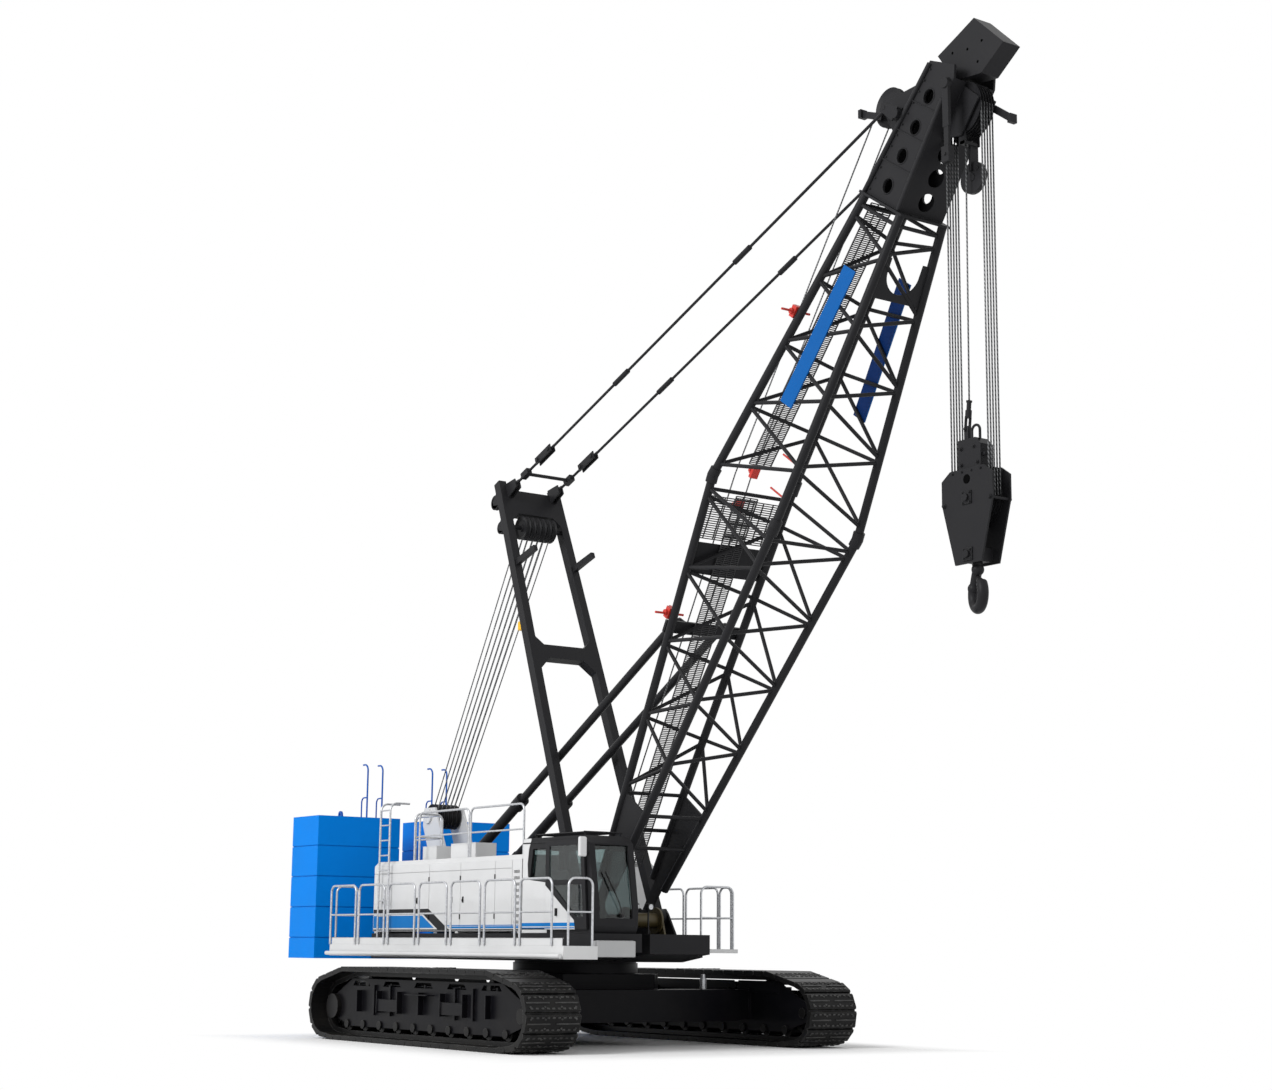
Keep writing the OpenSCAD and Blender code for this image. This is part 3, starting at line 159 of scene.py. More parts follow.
def makeDust():
    tree, given, out = newGroup("groundDust", {
        "Color": (0.5, 0.5, 0.5, 1), "Dust Color": (0.33, 0.29, 0.23, 1), "Amount": 0.3, "Top": 1.6, "Scale": 1.7},
        {"Color": "Color", "Mask": "Float"})
    place = put(tree, "ShaderNodeSeparateXYZ", {"Vector": objectPlace(tree)})
    cloud = texture(tree, "Noise", {"Scale": given["Scale"], "Detail": 8.0, "Roughness": 0.62})["Fac"]
    low = calc(tree, "SUBTRACT", 1.0, calc(tree, "DIVIDE", place.outputs["Z"], given["Top"]))
    low = calc(tree, "MAXIMUM", low, 0.12)
    facing = put(tree, "ShaderNodeSeparateXYZ", {"Vector": put(tree, "ShaderNodeNewGeometry").outputs["Normal"]})
    lying = spread(tree, facing.outputs["Z"], 0.2, 0.95)
    settle = calc(tree, "MULTIPLY_ADD", lying, 0.55, low)
    mask = put(tree, "ShaderNodeMath", {0: calc(tree, "MULTIPLY", settle, spread(tree, cloud, 0.36, 0.72)),
                                        1: given["Amount"]}, operation="MULTIPLY", use_clamp=True).outputs[0]
    fill(tree, out, {"Color": mixColor(tree, mask, given["Color"], given["Dust Color"]), "Mask": mask})
    return tree


def makeGrain():
    tree, given, out = newGroup("paintGrain", {
        "Color": (0.5, 0.5, 0.5, 1), "Variation": 0.06, "Roughness": 0.4, "Scale": 160.0},
        {"Color": "Color", "Roughness": "Float", "Height": "Float"})
    wide = texture(tree, "Noise", {"Scale": 1.3, "Detail": 5.0})["Fac"]
    fine = texture(tree, "Noise", {"Scale": given["Scale"], "Detail": 2.0})["Fac"]
    shift = calc(tree, "MULTIPLY", calc(tree, "SUBTRACT", wide, 0.5), given["Variation"])
    light = put(tree, "ShaderNodeHueSaturation", {"Color": given["Color"],
                                                  "Value": calc(tree, "MULTIPLY_ADD", shift, 4.0, 1.0)})
    rough = calc(tree, "MULTIPLY_ADD", shift, 2.5, given["Roughness"])
    fill(tree, out, {"Color": light.outputs[0], "Roughness": rough, "Height": fine})
    return tree


edgeWearAndHighlight, groundDust, paintGrain = makeEdgeWearAndHighlight(), makeDust(), makeGrain()
materials = {}


def newMaterial(name):
    materials[name] = material = bpy.data.materials.new(name)
    material.use_nodes = True
    return material.node_tree, material.node_tree.nodes["Principled BSDF"]


def rgba(color):
    return (*color, 1.0)


# one entry for each finish on the machine, with what differs from the usual values in makePaint
finishes = {
    "whitePaint": dict(color=(0.62, 0.625, 0.63), rough=0.34, edge=(0.5, 0.5, 0.5), wearAndHighlight=0.25, dust=0.10),
    "bluePaint": dict(color=(0.0, 0.205, 0.72), rough=0.45, gloss=0.05, edge=(0.03, 0.30, 0.80), wearAndHighlight=0.35, dust=0.01),
    "bandBlue": dict(color=(0.0, 0.16, 0.48), gloss=0.1, edge=(0.05, 0.25, 0.6), wearAndHighlight=0.2, dust=0.03),
    "stripeBlue": dict(color=(0.0, 0.085, 0.31), gloss=0.1, edge=(0.05, 0.2, 0.5), wearAndHighlight=0.2),
    "handleBlue": dict(color=(0.0, 0.09, 0.40), rough=0.38, edge=(0.1, 0.3, 0.7), wearAndHighlight=0.5),
    "boardNavy": dict(color=(0.002, 0.022, 0.11), gloss=0.1, edge=(0.1, 0.12, 0.2)),
    "charcoalPaint": dict(color=(0.0155, 0.0155, 0.0172), rough=0.42, gloss=0.1, edge=(0.075, 0.077, 0.08), wearAndHighlight=0.5,
                          dust=0.03),
    "navyPaint": dict(color=(0.0042, 0.0042, 0.0058), rough=0.36, gloss=0.09, edge=(0.07, 0.07, 0.08), wearAndHighlight=0.55,
                      dust=0.015),
    # on the track and shoe steels the light edge colour, at nearly full amount, is a painted highlight along the edges,
    # partly wear
    "trackSteel": dict(color=(0.0065, 0.0065, 0.0068), rough=0.38, gloss=0.14, edge=(0.16, 0.158, 0.155), wearAndHighlight=0.9,
                       dust=0.02, metal=0.1),
    "shoeSteel": dict(color=(0.034, 0.034, 0.034), edge=(0.2, 0.2, 0.195), wearAndHighlight=0.9, dust=0.03, metal=0.2),
    "gratingSteel": dict(color=(0.05, 0.05, 0.053), rough=0.5, gloss=0.2, edge=(0.15, 0.15, 0.15), wearAndHighlight=0.3, dust=0.03),
    "stepGrey": dict(color=(0.40, 0.405, 0.41), edge=(0.5, 0.5, 0.5), dust=0.1),
    "olivePaint": dict(color=(0.075, 0.058, 0.022), rough=0.42, gloss=0.35, edge=(0.2, 0.18, 0.12), wearAndHighlight=0.6, dust=0.2),
    "redPaint": dict(color=(0.52, 0.03, 0.02), gloss=0.4, edge=(0.6, 0.2, 0.15)),
    "greyPaint": dict(color=(0.21, 0.215, 0.22), rough=0.45, edge=(0.4, 0.4, 0.4), wearAndHighlight=0.5, dust=0.12),
    "yellowPaint": dict(color=(0.75, 0.42, 0.01), gloss=0.4, edge=(0.8, 0.6, 0.3)),
    "blackPlastic": dict(color=(0.010, 0.010, 0.011), rough=0.5, edge=(0.04, 0.04, 0.04), wearAndHighlight=0.3),
    # near-black finish of the discs in the hook block's holes: painted shade
    "paintedHoleShade": dict(color=(0.0012, 0.0012, 0.0013), rough=0.8, gloss=0.03, edge=(0.01, 0.01, 0.01), wearAndHighlight=0.2, dust=0)
}
coat = dict(variation=0.05, bump=0.04, bumpDeep=0.002, dustRough=0.35)  # the same for every paint


def makePaint(name, color, edge, rough=0.4, gloss=0.3, wearAndHighlight=0.4, dust=0.05, metal=0.0):
    tree, shader = newMaterial(name)
    grain = useGroup(tree, paintGrain, {"Color": rgba(color), "Roughness": rough, "Variation": coat["variation"]})
    edgeWornAndLit = useGroup(tree, edgeWearAndHighlight, {"Color": grain["Color"], "Edge Color": rgba(edge), "Amount": wearAndHighlight})
    dusty = useGroup(tree, groundDust, {"Color": edgeWornAndLit["Color"], "Amount": dust})
    bump = put(tree, "ShaderNodeBump", {"Height": grain["Height"], "Normal": edgeWornAndLit["Normal"], "Strength": coat["bump"],
                                        "Distance": coat["bumpDeep"]})
    roughness = calc(tree, "MULTIPLY_ADD", dusty["Mask"], coat["dustRough"], grain["Roughness"])
    fill(tree, shader.inputs, {"Base Color": dusty["Color"], "Metallic": metal, "Specular IOR Level": gloss,
                               "Roughness": roughness, "Normal": bump.outputs[0]})


def makeGalvanised():
    tree, shader = newMaterial("galvanised")
    spangle = texture(tree, "Voronoi", {"Scale": 42.0})["Color"]
    tone = put(tree, "ShaderNodeSeparateColor", {"Color": spangle}).outputs[0]
    shade = spread(tree, tone, -0.4, 1.4)
    grey = mixColor(tree, shade, (0.40, 0.41, 0.43, 1), (0.62, 0.63, 0.65, 1))
    dusty = useGroup(tree, groundDust, {"Color": grey, "Amount": 0.08})
    fill(tree, shader.inputs, {"Base Color": dusty["Color"], "Metallic": 0.75,
                               "Roughness": calc(tree, "MULTIPLY_ADD", shade, 0.18, 0.30)})


def makeGlass():
    tree, shader = newMaterial("cabGlass")
    haze = texture(tree, "Noise", {"Scale": 3.0, "Detail": 4.0})["Fac"]
    tint = mixColor(tree, haze, (0.34, 0.42, 0.42, 1), (0.42, 0.50, 0.50, 1))
    fill(tree, shader.inputs, {"Base Color": tint, "Roughness": 0.02, "IOR": 1.45, "Transmission Weight": 1.0})


def makeWireRope():
    tree, shader = newMaterial("wireRope")
    lay = texture(tree, "Wave", {"Scale": 9.0, "Distortion": 0.4}, bands_direction="DIAGONAL")["Fac"]
    grease = mixColor(tree, lay, (0.055, 0.057, 0.06, 1), (0.24, 0.245, 0.25, 1))
    bump = put(tree, "ShaderNodeBump", {"Height": lay, "Strength": 0.5, "Distance": 0.006})
    fill(tree, shader.inputs, {"Base Color": grease, "Metallic": 0.6, "Normal": bump.outputs[0],
                               "Roughness": calc(tree, "MULTIPLY_ADD", lay, -0.2, 0.55)})


def makeCloth():
    tree, shader = newMaterial("seatCloth")
    weave = texture(tree, "Checker", {"Scale": 260.0, "Color1": (0.030, 0.031, 0.034, 1),
                                      "Color2": (0.055, 0.056, 0.06, 1)})
    bump = put(tree, "ShaderNodeBump", {"Height": weave["Fac"], "Strength": 0.3, "Distance": 0.002})
    fill(tree, shader.inputs, {"Base Color": weave["Color"], "Roughness": 0.85, "Sheen Weight": 0.4,
                               "Normal": bump.outputs[0]})


for name, settings in finishes.items():
    makePaint(name, **settings)
makeGalvanised()
makeGlass()
makeWireRope()
makeCloth()
print("finishes:", len(materials))

# finish of each solid, charcoal where it isn't named
nodeFinish = {
    "navyPaint": ["car_body", "axle_beams", "track_frame_right", "track_frame_left", "slewing_ring"],
    "trackSteel": ["track_shoes_right", "track_shoes_left", "sprockets", "idlers", "lower_rollers", "carrier_rollers"],
    "bluePaint": ["counterweight_base", "counterweight_slabs"],
    "stripeBlue": ["sign_boards"],
    "handleBlue": ["counterweight_handles"],
    "whitePaint": ["house_right", "house_left", "rear_gantry", "walkways"],
    "galvanised": ["rails_right", "rails_roof", "rails_left", "access_ladder", "beam_jacks", "exhaust_stack"],
    "cabGlass": ["cab_glass", "door_glass"],
    "olivePaint": ["winch_drums"],
    "redPaint": ["lifeline_posts"],
    "greyPaint": ["engine_block", "boom_walkway"],
    "wireRope": ["hoist_ropes"],
    "seatCloth": ["cab_seat"],
}


def dressNodes():
    named = {node: finish for finish, nodes in nodeFinish.items() for node in nodes}
    for name, solid in frame["nodes"].items():
        solid.data.materials.clear()
        solid.data.materials.append(materials[named.get(name, "charcoalPaint")])


dressNodes()

# places on the machine, given in millimetres from the swing axis or along the boom and the mast
angles = dict(boom=54.9, mast=112.15)


def deckAt(x, y, z):
    return Vector((swingX + x / 1000, y / 1000, z / 1000))


def armAt(angle, s, y, n):
    turn = math.radians(angle)
    return footAt + Vector((s * math.cos(turn) - n * math.sin(turn), y, s * math.sin(turn) + n * math.cos(turn))) / 1000


def boomAt(s, y, n):
    return armAt(angles["boom"], s, y, n)


def mastAt(s, y, n):
    return armAt(angles["mast"], s, y, n)


boomForm = dict(foot=(535, 130), joint=(885, 1010), head=(450, 500), jointS=8240, headS=13560)  # half width, half depth


def boomHalf(s):
    start, end, share = boomForm["foot"], boomForm["joint"], s / boomForm["jointS"]
    if s > boomForm["jointS"]:
        start, end = boomForm["joint"], boomForm["head"]
        share = (s - boomForm["jointS"]) / (boomForm["headS"] - boomForm["jointS"])
    return start[0] + (end[0] - start[0]) * share, start[1] + (end[1] - start[1]) * share


# mesh tools, in metres
def across(y):
    return Vector((0, y, 0))


def arc(radius, turn, steps):
    return [(radius * math.cos(turn * k / steps), radius * math.sin(turn * k / steps)) for k in range(steps + 1)]


def boxMatrix(low, high):
    low, high = Vector(low), Vector(high)
    return Matrix.Translation((low + high) / 2) @ Matrix.Diagonal((*(high - low), 1))


def addBox(bm, low, high):
    bmesh.ops.create_cube(bm, size=1, matrix=boxMatrix(low, high))


def addBar(bm, start, end, wide, high, upward=(0, 0, 1)):
    ahead = (end - start).normalized()
    side = ahead.cross(Vector(upward)).normalized()
    top = side.cross(ahead)
    corners = [start + side * wide / 2 * i + top * high / 2 * j for i, j in ((-1, -1), (1, -1), (1, 1), (-1, 1))]
    addPrism(bm, corners, end - start)


def addPrism(bm, outline, depth):
    near = [bm.verts.new(p) for p in outline]
    far = [bm.verts.new(Vector(p) + Vector(depth)) for p in outline]
    count = len(near)
    bm.faces.new(near[::-1])
    bm.faces.new(far)
    for i in range(count):
        j = (i + 1) % count
        bm.faces.new((near[i], near[j], far[j], far[i]))


def addTube(bm, points, radius, sides=10):
    points = [Vector(p) for p in points]
    rings, side = [], None
    for i, point in enumerate(points):
        ahead = (points[min(i + 1, len(points) - 1)] - points[max(i - 1, 0)]).normalized()
        if side is None:
            side = ahead.orthogonal().normalized()
        side = (side - ahead * side.dot(ahead)).normalized()
        top = ahead.cross(side)
        turns = [2 * math.pi * k / sides for k in range(sides)]
        rings.append([bm.verts.new(point + (side * math.cos(a) + top * math.sin(a)) * radius) for a in turns])
    for low, high in zip(rings, rings[1:]):
        for k in range(sides):
            m = (k + 1) % sides
            bm.faces.new((low[k], low[m], high[m], high[k]))
    bm.faces.new(rings[0][::-1])
    bm.faces.new(rings[-1])


def addSoftBox(bm, low, high, radius):
    made = bmesh.ops.create_cube(bm, size=1, matrix=boxMatrix(low, high))
    edges = list(dict.fromkeys(edge for vert in made["verts"] for edge in vert.link_edges))
    bmesh.ops.bevel(bm, geom=edges, offset=radius, segments=3, affect="EDGES", profile=0.5)


def addBolt(bm, place, side, radius, height):
    addTube(bm, [place, place + across(side * height * 0.35)], radius * 1.5, 12)  # washer
    addTube(bm, [place + across(side * height * 0.3), place + across(side * height)], radius, 6)


def makePiece(name, finish, body, build, smooth=False):
    bm = bmesh.new()
    build(bm)
    bmesh.ops.recalc_face_normals(bm, faces=bm.faces)
    mesh = bpy.data.meshes.new(name)
    bm.to_mesh(mesh)
    bm.free()
    if smooth:
        mesh.shade_smooth()
    mesh.materials.append(materials[finish])
    piece = addObject(name, mesh)
    if body:
        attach(piece, body)
    return piece


# paint on the right house: blank band, stripe and lines as thin sheets, and along its foot a black strip that is part
# of the black band and a painted shadow line above the walkway
stripes = dict(face=-1950, rear=-4235, front=1190, low=2000, lowTop=2025, band=(2320, 2405), blue=(2050, 2282),
               slantFoot=-1680, slantWide=400, slope=2.0, gap=85, lines=((2040, 2075), (2085, 2100)))


def paintSheet(bm, face, outline, layer=1, lift=2.5):
    addPrism(bm, [deckAt(x, face - lift * layer, z) for x, z in outline], (0, lift / 1000, 0))


def houseSheet(bm, outline):
    paintSheet(bm, stripes["face"], outline)


def slantAt(z, off):
    return stripes["slantFoot"] + off - stripes["slope"] * (z - stripes["low"]), z


def makeStripes():
    s = stripes
    rear, front, low, wide, gap = s["rear"], s["front"], s["low"], s["slantWide"], s["gap"]
    under, over = s["band"]

    def makeBlue(bm):
        a, b = s["blue"]
        houseSheet(bm, [(rear, a), slantAt(a, -gap), slantAt(b, -gap), (rear, b)])
        for a, b in s["lines"]:
            houseSheet(bm, [slantAt(a, wide + gap), (front, a), (front, b), slantAt(b, wide + gap)])

    def makeBlack(bm):
        houseSheet(bm, [(rear, under), slantAt(under, 0), slantAt(s["lowTop"], 0), slantAt(s["lowTop"], wide),
                        slantAt(over, wide), (rear, over)])
        # thin black strip along the foot of the house: it joins the black band's slant, and is a painted shadow line
        # above the walkway
        houseSheet(bm, [(rear, low), (front, low), (front, s["lowTop"] - 1), (rear, s["lowTop"] - 1)])

    makePiece("houseBlueBand", "bandBlue", "upper", makeBlue)
    makePiece("houseBlackBandAndShadowLine", "charcoalPaint", "upper", makeBlack)


makeStripes()

# white panel and blue lines on the cab's side, white corner and blue lines on its door
cabPaint = dict(lines=((2032, 2050), (2068, 2128)), sides=(
    dict(body="upper", panel="cabWhitePanel", lines="cabLines", face=-1970, ends=(1264, 2074, 2074),
         outline=((1264, 1956), (2074, 1956), (2074, 2812), (1500, 2868), (1438, 2935), (1420, 3150), (1458, 3400),
                  (1530, 3560), (1530, 3586), (1302, 3586), (1264, 3510))),
    dict(body="door", panel="doorWhiteCorner", lines="doorLines", face=-2022, ends=(2084, 3022, 3008),
         outline=((2084, 2014), (3026, 2014), (2992, 2170), (2084, 2764)))))


def makeCabPaint(body, panel, lines, face, ends, outline):
    back, lowFront, highFront = ends

    def makeLines(bm):
        for a, b in cabPaint["lines"]:
            paintSheet(bm, face, ((back, a), (lowFront, a), (highFront, b), (back, b)), 2)

    makePiece(panel, "whitePaint", body, lambda bm: paintSheet(bm, face, outline))
    makePiece(lines, "bandBlue", body, makeLines)


for paint in cabPaint["sides"]:
    makeCabPaint(**paint)

# mirror with its arms, and the wiper of the cab
cabTrim = dict(mirrorLow=(3380, -2225, 3215), mirrorHigh=(3455, -2075, 3550), mirrorRound=0.03,
               armRoot=(3262, -1966, 3475), armDrops=(0, 190), armLean=0.17, armRadius=0.011,
               wiper=((3545, -1400, 2245), (3528, -1470, 2480), (3468, -1640, 2850)), wiperRadius=0.009,
               pivotRadius=0.028, bladeSlide=0.35, bladeSize=(0.014, 0.03))


def makeMirror(bm):
    addSoftBox(bm, deckAt(*cabTrim["mirrorLow"]), deckAt(*cabTrim["mirrorHigh"]), cabTrim["mirrorRound"])


def makeMirrorArm(bm):
    t = cabTrim
    low, high, root = t["mirrorLow"], t["mirrorHigh"], t["armRoot"]
    x, y, z = (low[0] + high[0]) / 2, high[1] - 20, high[2] - 70
    for drop in t["armDrops"]:
        addTube(bm, [deckAt(root[0] + drop * t["armLean"], root[1], root[2] - drop),
                     deckAt(x - 40, y + 60, z - drop), deckAt(x, y, z - drop)], t["armRadius"], 8)
    addBox(bm, deckAt(low[0] - 4, low[1] + 14, low[2] + 16),
           deckAt(low[0] + 2, high[1] - 14, high[2] - 16))  # mirror glass


def makeWiper(bm):
    t = cabTrim
    foot, elbow, tip = (deckAt(*p) for p in t["wiper"])
    addTube(bm, [foot, elbow, tip], t["wiperRadius"], 6)
    addTube(bm, [foot - Vector((0.05, 0, 0)), foot + Vector((0.012, 0, 0))], t["pivotRadius"], 12)
    slide = (tip - elbow) * t["bladeSlide"]
    addBar(bm, elbow + slide, tip + slide, *t["bladeSize"], (1, 0, 0.17))


makePiece("mirrorShell", "whitePaint", "upper", makeMirror)
makePiece("mirrorArm", "blackPlastic", "upper", makeMirrorArm)
makePiece("frontWiper", "blackPlastic", "upper", makeWiper)

# seat: crowned pads on a base between two consoles, in place of the plain solid
seat = dict(middle=-1520, low=1996, pads=(((2025, 2352), (550, 460, 130), 0), ((1755, 2730), (120, 440, 650), -11.5)),
            base=((1800, 180), (2250, 2285)), consoles=((1900, 55), (2650, 2510)), consoleOut=325,
            round=48, crown=26, pull=0.05, cuts=20, channel=(0.62, 0.06, 0.35))


def addPad(bm, centre, size, tilt):
    thin = min(range(3), key=lambda k: size[k])
    others = [k for k in range(3) if k != thin]
    turn = Matrix.Rotation(math.radians(tilt), 3, "Y")
    made, cuts = {}, seat["cuts"]
    middle, half, depth = seat["channel"]

    def vertAt(step):
        if step in made:
            return made[step]
        share = [2 * c / cuts - 1 for c in step]
        full = Vector([share[k] * size[k] / 2 for k in range(3)])
        core = Vector([max(-size[k] / 2 + seat["round"], min(size[k] / 2 - seat["round"], full[k])) for k in range(3)])
        off = full - core
        spot = core + (off.normalized() * seat["round"] if off.length > 1e-6 else off)
        swell = (1 - share[others[0]] ** 2) * (1 - share[others[1]] ** 2)
        groove = depth if abs(abs(share[1]) - middle) < half else 1.0  # sewn channels beside the middle
        if share[thin] > 0:
            spot[thin] += seat["crown"] * swell * groove * share[thin]
        for k in others:
            cross = share[others[1] if k == others[0] else others[0]]
            spot[k] *= 1 - seat["pull"] * (1 - cross ** 2) * abs(share[k])
        made[step] = bm.verts.new(centre + turn @ spot / 1000)
        return made[step]

    for axis in range(3):
        for end in (0, cuts):
            for i in range(cuts):
                for j in range(cuts):
                    ring = [(i, j), (i + 1, j), (i + 1, j + 1), (i, j + 1)]
                    bm.faces.new([vertAt(tuple(r[:axis] + (end,) + r[axis:])) for r in ring])


def makeSeatPads(bm):
    for (x, z), size, tilt in seat["pads"]:
        addPad(bm, deckAt(x, seat["middle"], z), size, tilt)


def makeSeatFrame(bm):
    y, low = seat["middle"], seat["low"]
    (x0, half), (x1, top) = seat["base"]
    addSoftBox(bm, deckAt(x0, y - half, low), deckAt(x1, y + half, top), 0.02)
    (x0, half), (x1, top) = seat["consoles"]
    for side in (-1, 1):
        middle = y + side * seat["consoleOut"]
        addSoftBox(bm, deckAt(x0, middle - half, low), deckAt(x1, middle + half, top - 30), 0.02)
        addTube(bm, [deckAt(x1 - 110, middle, top - 35), deckAt(x1 - 125, middle, top + 110)], 0.012, 8)  # lever
        addSoftBox(bm, deckAt(x1 - 148, middle - 24, top + 100), deckAt(x1 - 102, middle + 24, top + 160), 0.014)


seatPads = makePiece("seatPads", "seatCloth", "upper", makeSeatPads, smooth=True)
makePiece("seatFrame", "blackPlastic", "upper", makeSeatFrame)
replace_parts(seatPads, "cab_seat")
print("cab dressed")

# latches and hinges of the house doors
latches = dict(face=-1950, places=(-3840, -2530, -1220, -820), height=2560, hingeHeights=(2250, 2950),
               hinges=(-2080, -920, 300), hingeHalf=45, hingeRadius=0.011)


def makeLatches(bm):
    v = latches
    face, z, half = v["face"], v["height"], v["hingeHalf"]
    for x in v["places"]:
        addBox(bm, deckAt(x - 22, face - 10, z - 55), deckAt(x + 22, face, z + 55))
        addBox(bm, deckAt(x - 8, face - 28, z - 35), deckAt(x + 8, face - 9, z + 10))  # grip
    for x in v["hinges"]:
        for z in v["hingeHeights"]:
            addTube(bm, [deckAt(x, face - 9, z - half), deckAt(x, face - 9, z + half)], v["hingeRadius"], 8)


makePiece("doorLatches", "blackPlastic", "upper", makeLatches)

# sloping blades in the air slots of both houses
louvres = dict(side=1950, starts=((-1, 940), (1, -510)), wide=190, low=2120, pitch=110, slots=9, blades=(3, 18, 33),
               rise=9, deep=22, thick=5)


def makeLouvres(bm):
    v = louvres
    for side, start in v["starts"]:
        for slot in range(v["slots"]):
            for up in v["blades"]:
                z = v["low"] + slot * v["pitch"] + up
                edge = [(2, 0), (2, v["thick"]), (v["deep"], v["thick"] + v["rise"]), (v["deep"], v["rise"])]
                addPrism(bm, [deckAt(start - 1, side * (v["side"] - y), z + over) for y, over in edge],
                         ((v["wide"] + 2) / 1000, 0, 0))


makePiece("houseLouvres", "whitePaint", "upper", makeLouvres)

# ropes between the mast and the rear gantry, in sections
hoistReeving = dict(ropes=12, radius=0.012, sections=10, gantry=(-5000, 4330), gantryStep=46, gantryLift=211.5,
                    mastS=8150, mastStep=60, mastLead=60, mastLift=189, sides=7)


def unsmooth(share):
    low, high = 0.0, 1.0
    for _ in range(40):
        middle = (low + high) / 2
        if middle * middle * (3 - 2 * middle) < share:
            low = middle
        else:
            high = middle
    return (low + high) / 2


def blendRopes(name, pairs, count, radius, sides):
    steps = [i / count for i in range(count + 1)]
    for i in range(count):
        def build(bm):
            for start, end in pairs:
                spots = [start.lerp(end, steps[i] + (steps[i + 1] - steps[i]) * k / 3) for k in range(4)]
                addTube(bm, spots, radius, sides)
        piece = makePiece(f"{name}{i}", "wireRope", None, build, smooth=True)
        low, high = unsmooth(steps[i]), unsmooth(steps[i + 1])  # even share of the turn along the rope
        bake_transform(piece)


def makeHoistReeving():
    r = hoistReeving
    x, z = r["gantry"]
    pairs = []
    for i in range(r["ropes"]):
        lane, side = i - (r["ropes"] - 1) / 2, 1 if i % 2 else -1
        low = deckAt(x, lane * r["gantryStep"], z + side * r["gantryLift"])
        high = mastAt(r["mastS"], lane * r["mastStep"], 0) + Vector((-r["mastLead"], 0, r["mastLift"])) * side / 1000
        pairs.append((low, high))
    blendRopes("boomHoistRopes", pairs, r["sections"], r["radius"], r["sides"])


makeHoistReeving()

# ropes down to the hook block, straight between their two ends, and the dead end in its socket
hookFall = dict(count=5, step=58, radius=0.013, sides=10, out=393.5, axisZ=8395, deadTop=(-20, -55, -150),
                socket=(-58, -55, 9895))


def makeHookFall():
    f = hookFall
    top = jointAt["rope_plumb"]
    low = Vector((top.x, 0, f["axisZ"] / 1000))
    above = top + Vector(f["deadTop"]) / 1000
    socket = Vector((top.x, 0, 0)) + Vector(f["socket"]) / 1000

    def makeFalls(bm):
        for i in range(f["count"]):
            for side in (-1, 1):
                shift = Vector((side * f["out"], (i - (f["count"] - 1) / 2) * f["step"], 0)) / 1000
                addTube(bm, [top + shift, low + shift], f["radius"], f["sides"])

    def makeDeadEnd(bm):
        addTube(bm, [above, socket], f["radius"], f["sides"])

    falls = makePiece("hookRopes", "wireRope", None, makeFalls, smooth=True)
    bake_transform(falls)
    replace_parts(falls, "hoist_ropes")
    deadEnd = makePiece("ropeEnd", "wireRope", None, makeDeadEnd, smooth=True)
    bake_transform(deadEnd)


makeHookFall()

# ropes on the back of the boom, from the idler to its foot and on to the drum
backRope = dict(radius=0.013, sides=8, lanes=(-230, 120), line=((14930, 1290), (8240, 1290), (700, 520)),
                drum=(-700, 2650), sections=4)


def makeBackRope():
    b = backRope
    x, z = b["drum"]
    runs = [[boomAt(s, y, n) for s, n in b["line"]] for y in b["lanes"]]

    def makeRuns(bm):
        for run in runs:
            addTube(bm, run, b["radius"], b["sides"])

    makePiece("boomBackRope", "wireRope", "boom", makeRuns, smooth=True)
    pairs = [(deckAt(x, y, z), run[-1]) for y, run in zip(b["lanes"], runs)]
    blendRopes("drumRope", pairs, b["sections"], b["radius"], b["sides"])


makeBackRope()
print("ropes ready")

# grating on top of the boom, in place of its plain strips
grating = dict(half=230, pitch=34, over=46, strips=((900, 7920), (8540, 13450)), landing=(7090, 7850),
               landingOver=87, landingPitch=40, railStep=230, rail=(0.012, 0.026), bar=(0.009, 0.0182))


def addGrate(bm, s0, s1, half, over, pitch):
    rails, bars = 2 + int(2 * half // grating["railStep"]), int((s1 - s0) // pitch)

    def spot(s, y):
        return boomAt(s, y, boomHalf(s)[1] + over)

    for k in range(rails):
        y = half * (-1 + 2 * k / (rails - 1))
        addBar(bm, spot(s0, y), spot(s1, y), *grating["rail"])
    for i in range(bars + 1):
        s = s0 + (s1 - s0) * i / bars
        addBar(bm, spot(s, -half), spot(s, half), *grating["bar"])


def makeGrating(bm):
    g = grating
    for s0, s1 in g["strips"]:
        addGrate(bm, s0, s1, g["half"], g["over"], g["pitch"])
    low, high = g["landing"]
    addGrate(bm, low, high, boomHalf(low)[0], g["landingOver"], g["landingPitch"])


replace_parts(makePiece("boomGrating", "gratingSteel", "boom", makeGrating), "boom_walkway")

# mast: rope pulleys behind its near leg, eyes along the legs, links of the stays and a lamp
mastTrim = dict(legFoot=820, legTop=620, long=9150, half=95, pulleys=((8840, 150), (8240, 125)), pulleyHalf=0.035,
                cheekOut=48, cheekFoot=150, cheekTip=45, cheekOver=50, eyes=(1200, 2300, 3400, 4500, 6100),
                eyeRadius=0.011, lampS=5990, lampOut=62, lampHalf=(0.065, 0.07, 0.09))
stayLink = dict(pin=(8930, -330), stay=(14930, 750), y=500, cross=0.42, sleeve=(0.30, 0.54), plate=(0.86, 1.42),
                plateOut=0.045, pins=(0.94, 1.34), pinHalf=0.085)  # from cross on, in metres


def legAt(s):
    m = mastTrim
    return m["legFoot"] + (m["legTop"] - m["legFoot"]) * s / m["long"]


def addWheel(bm, centre, radius, half):
    addTube(bm, [centre - across(half), centre + across(half)], radius * 0.82, 24)
    for out in (-half, half):
        addTube(bm, [centre + across(out * 0.55), centre + across(out)], radius, 24)
        addTube(bm, [centre + across(out), centre + across(out * 1.5)], radius * 0.28, 12)


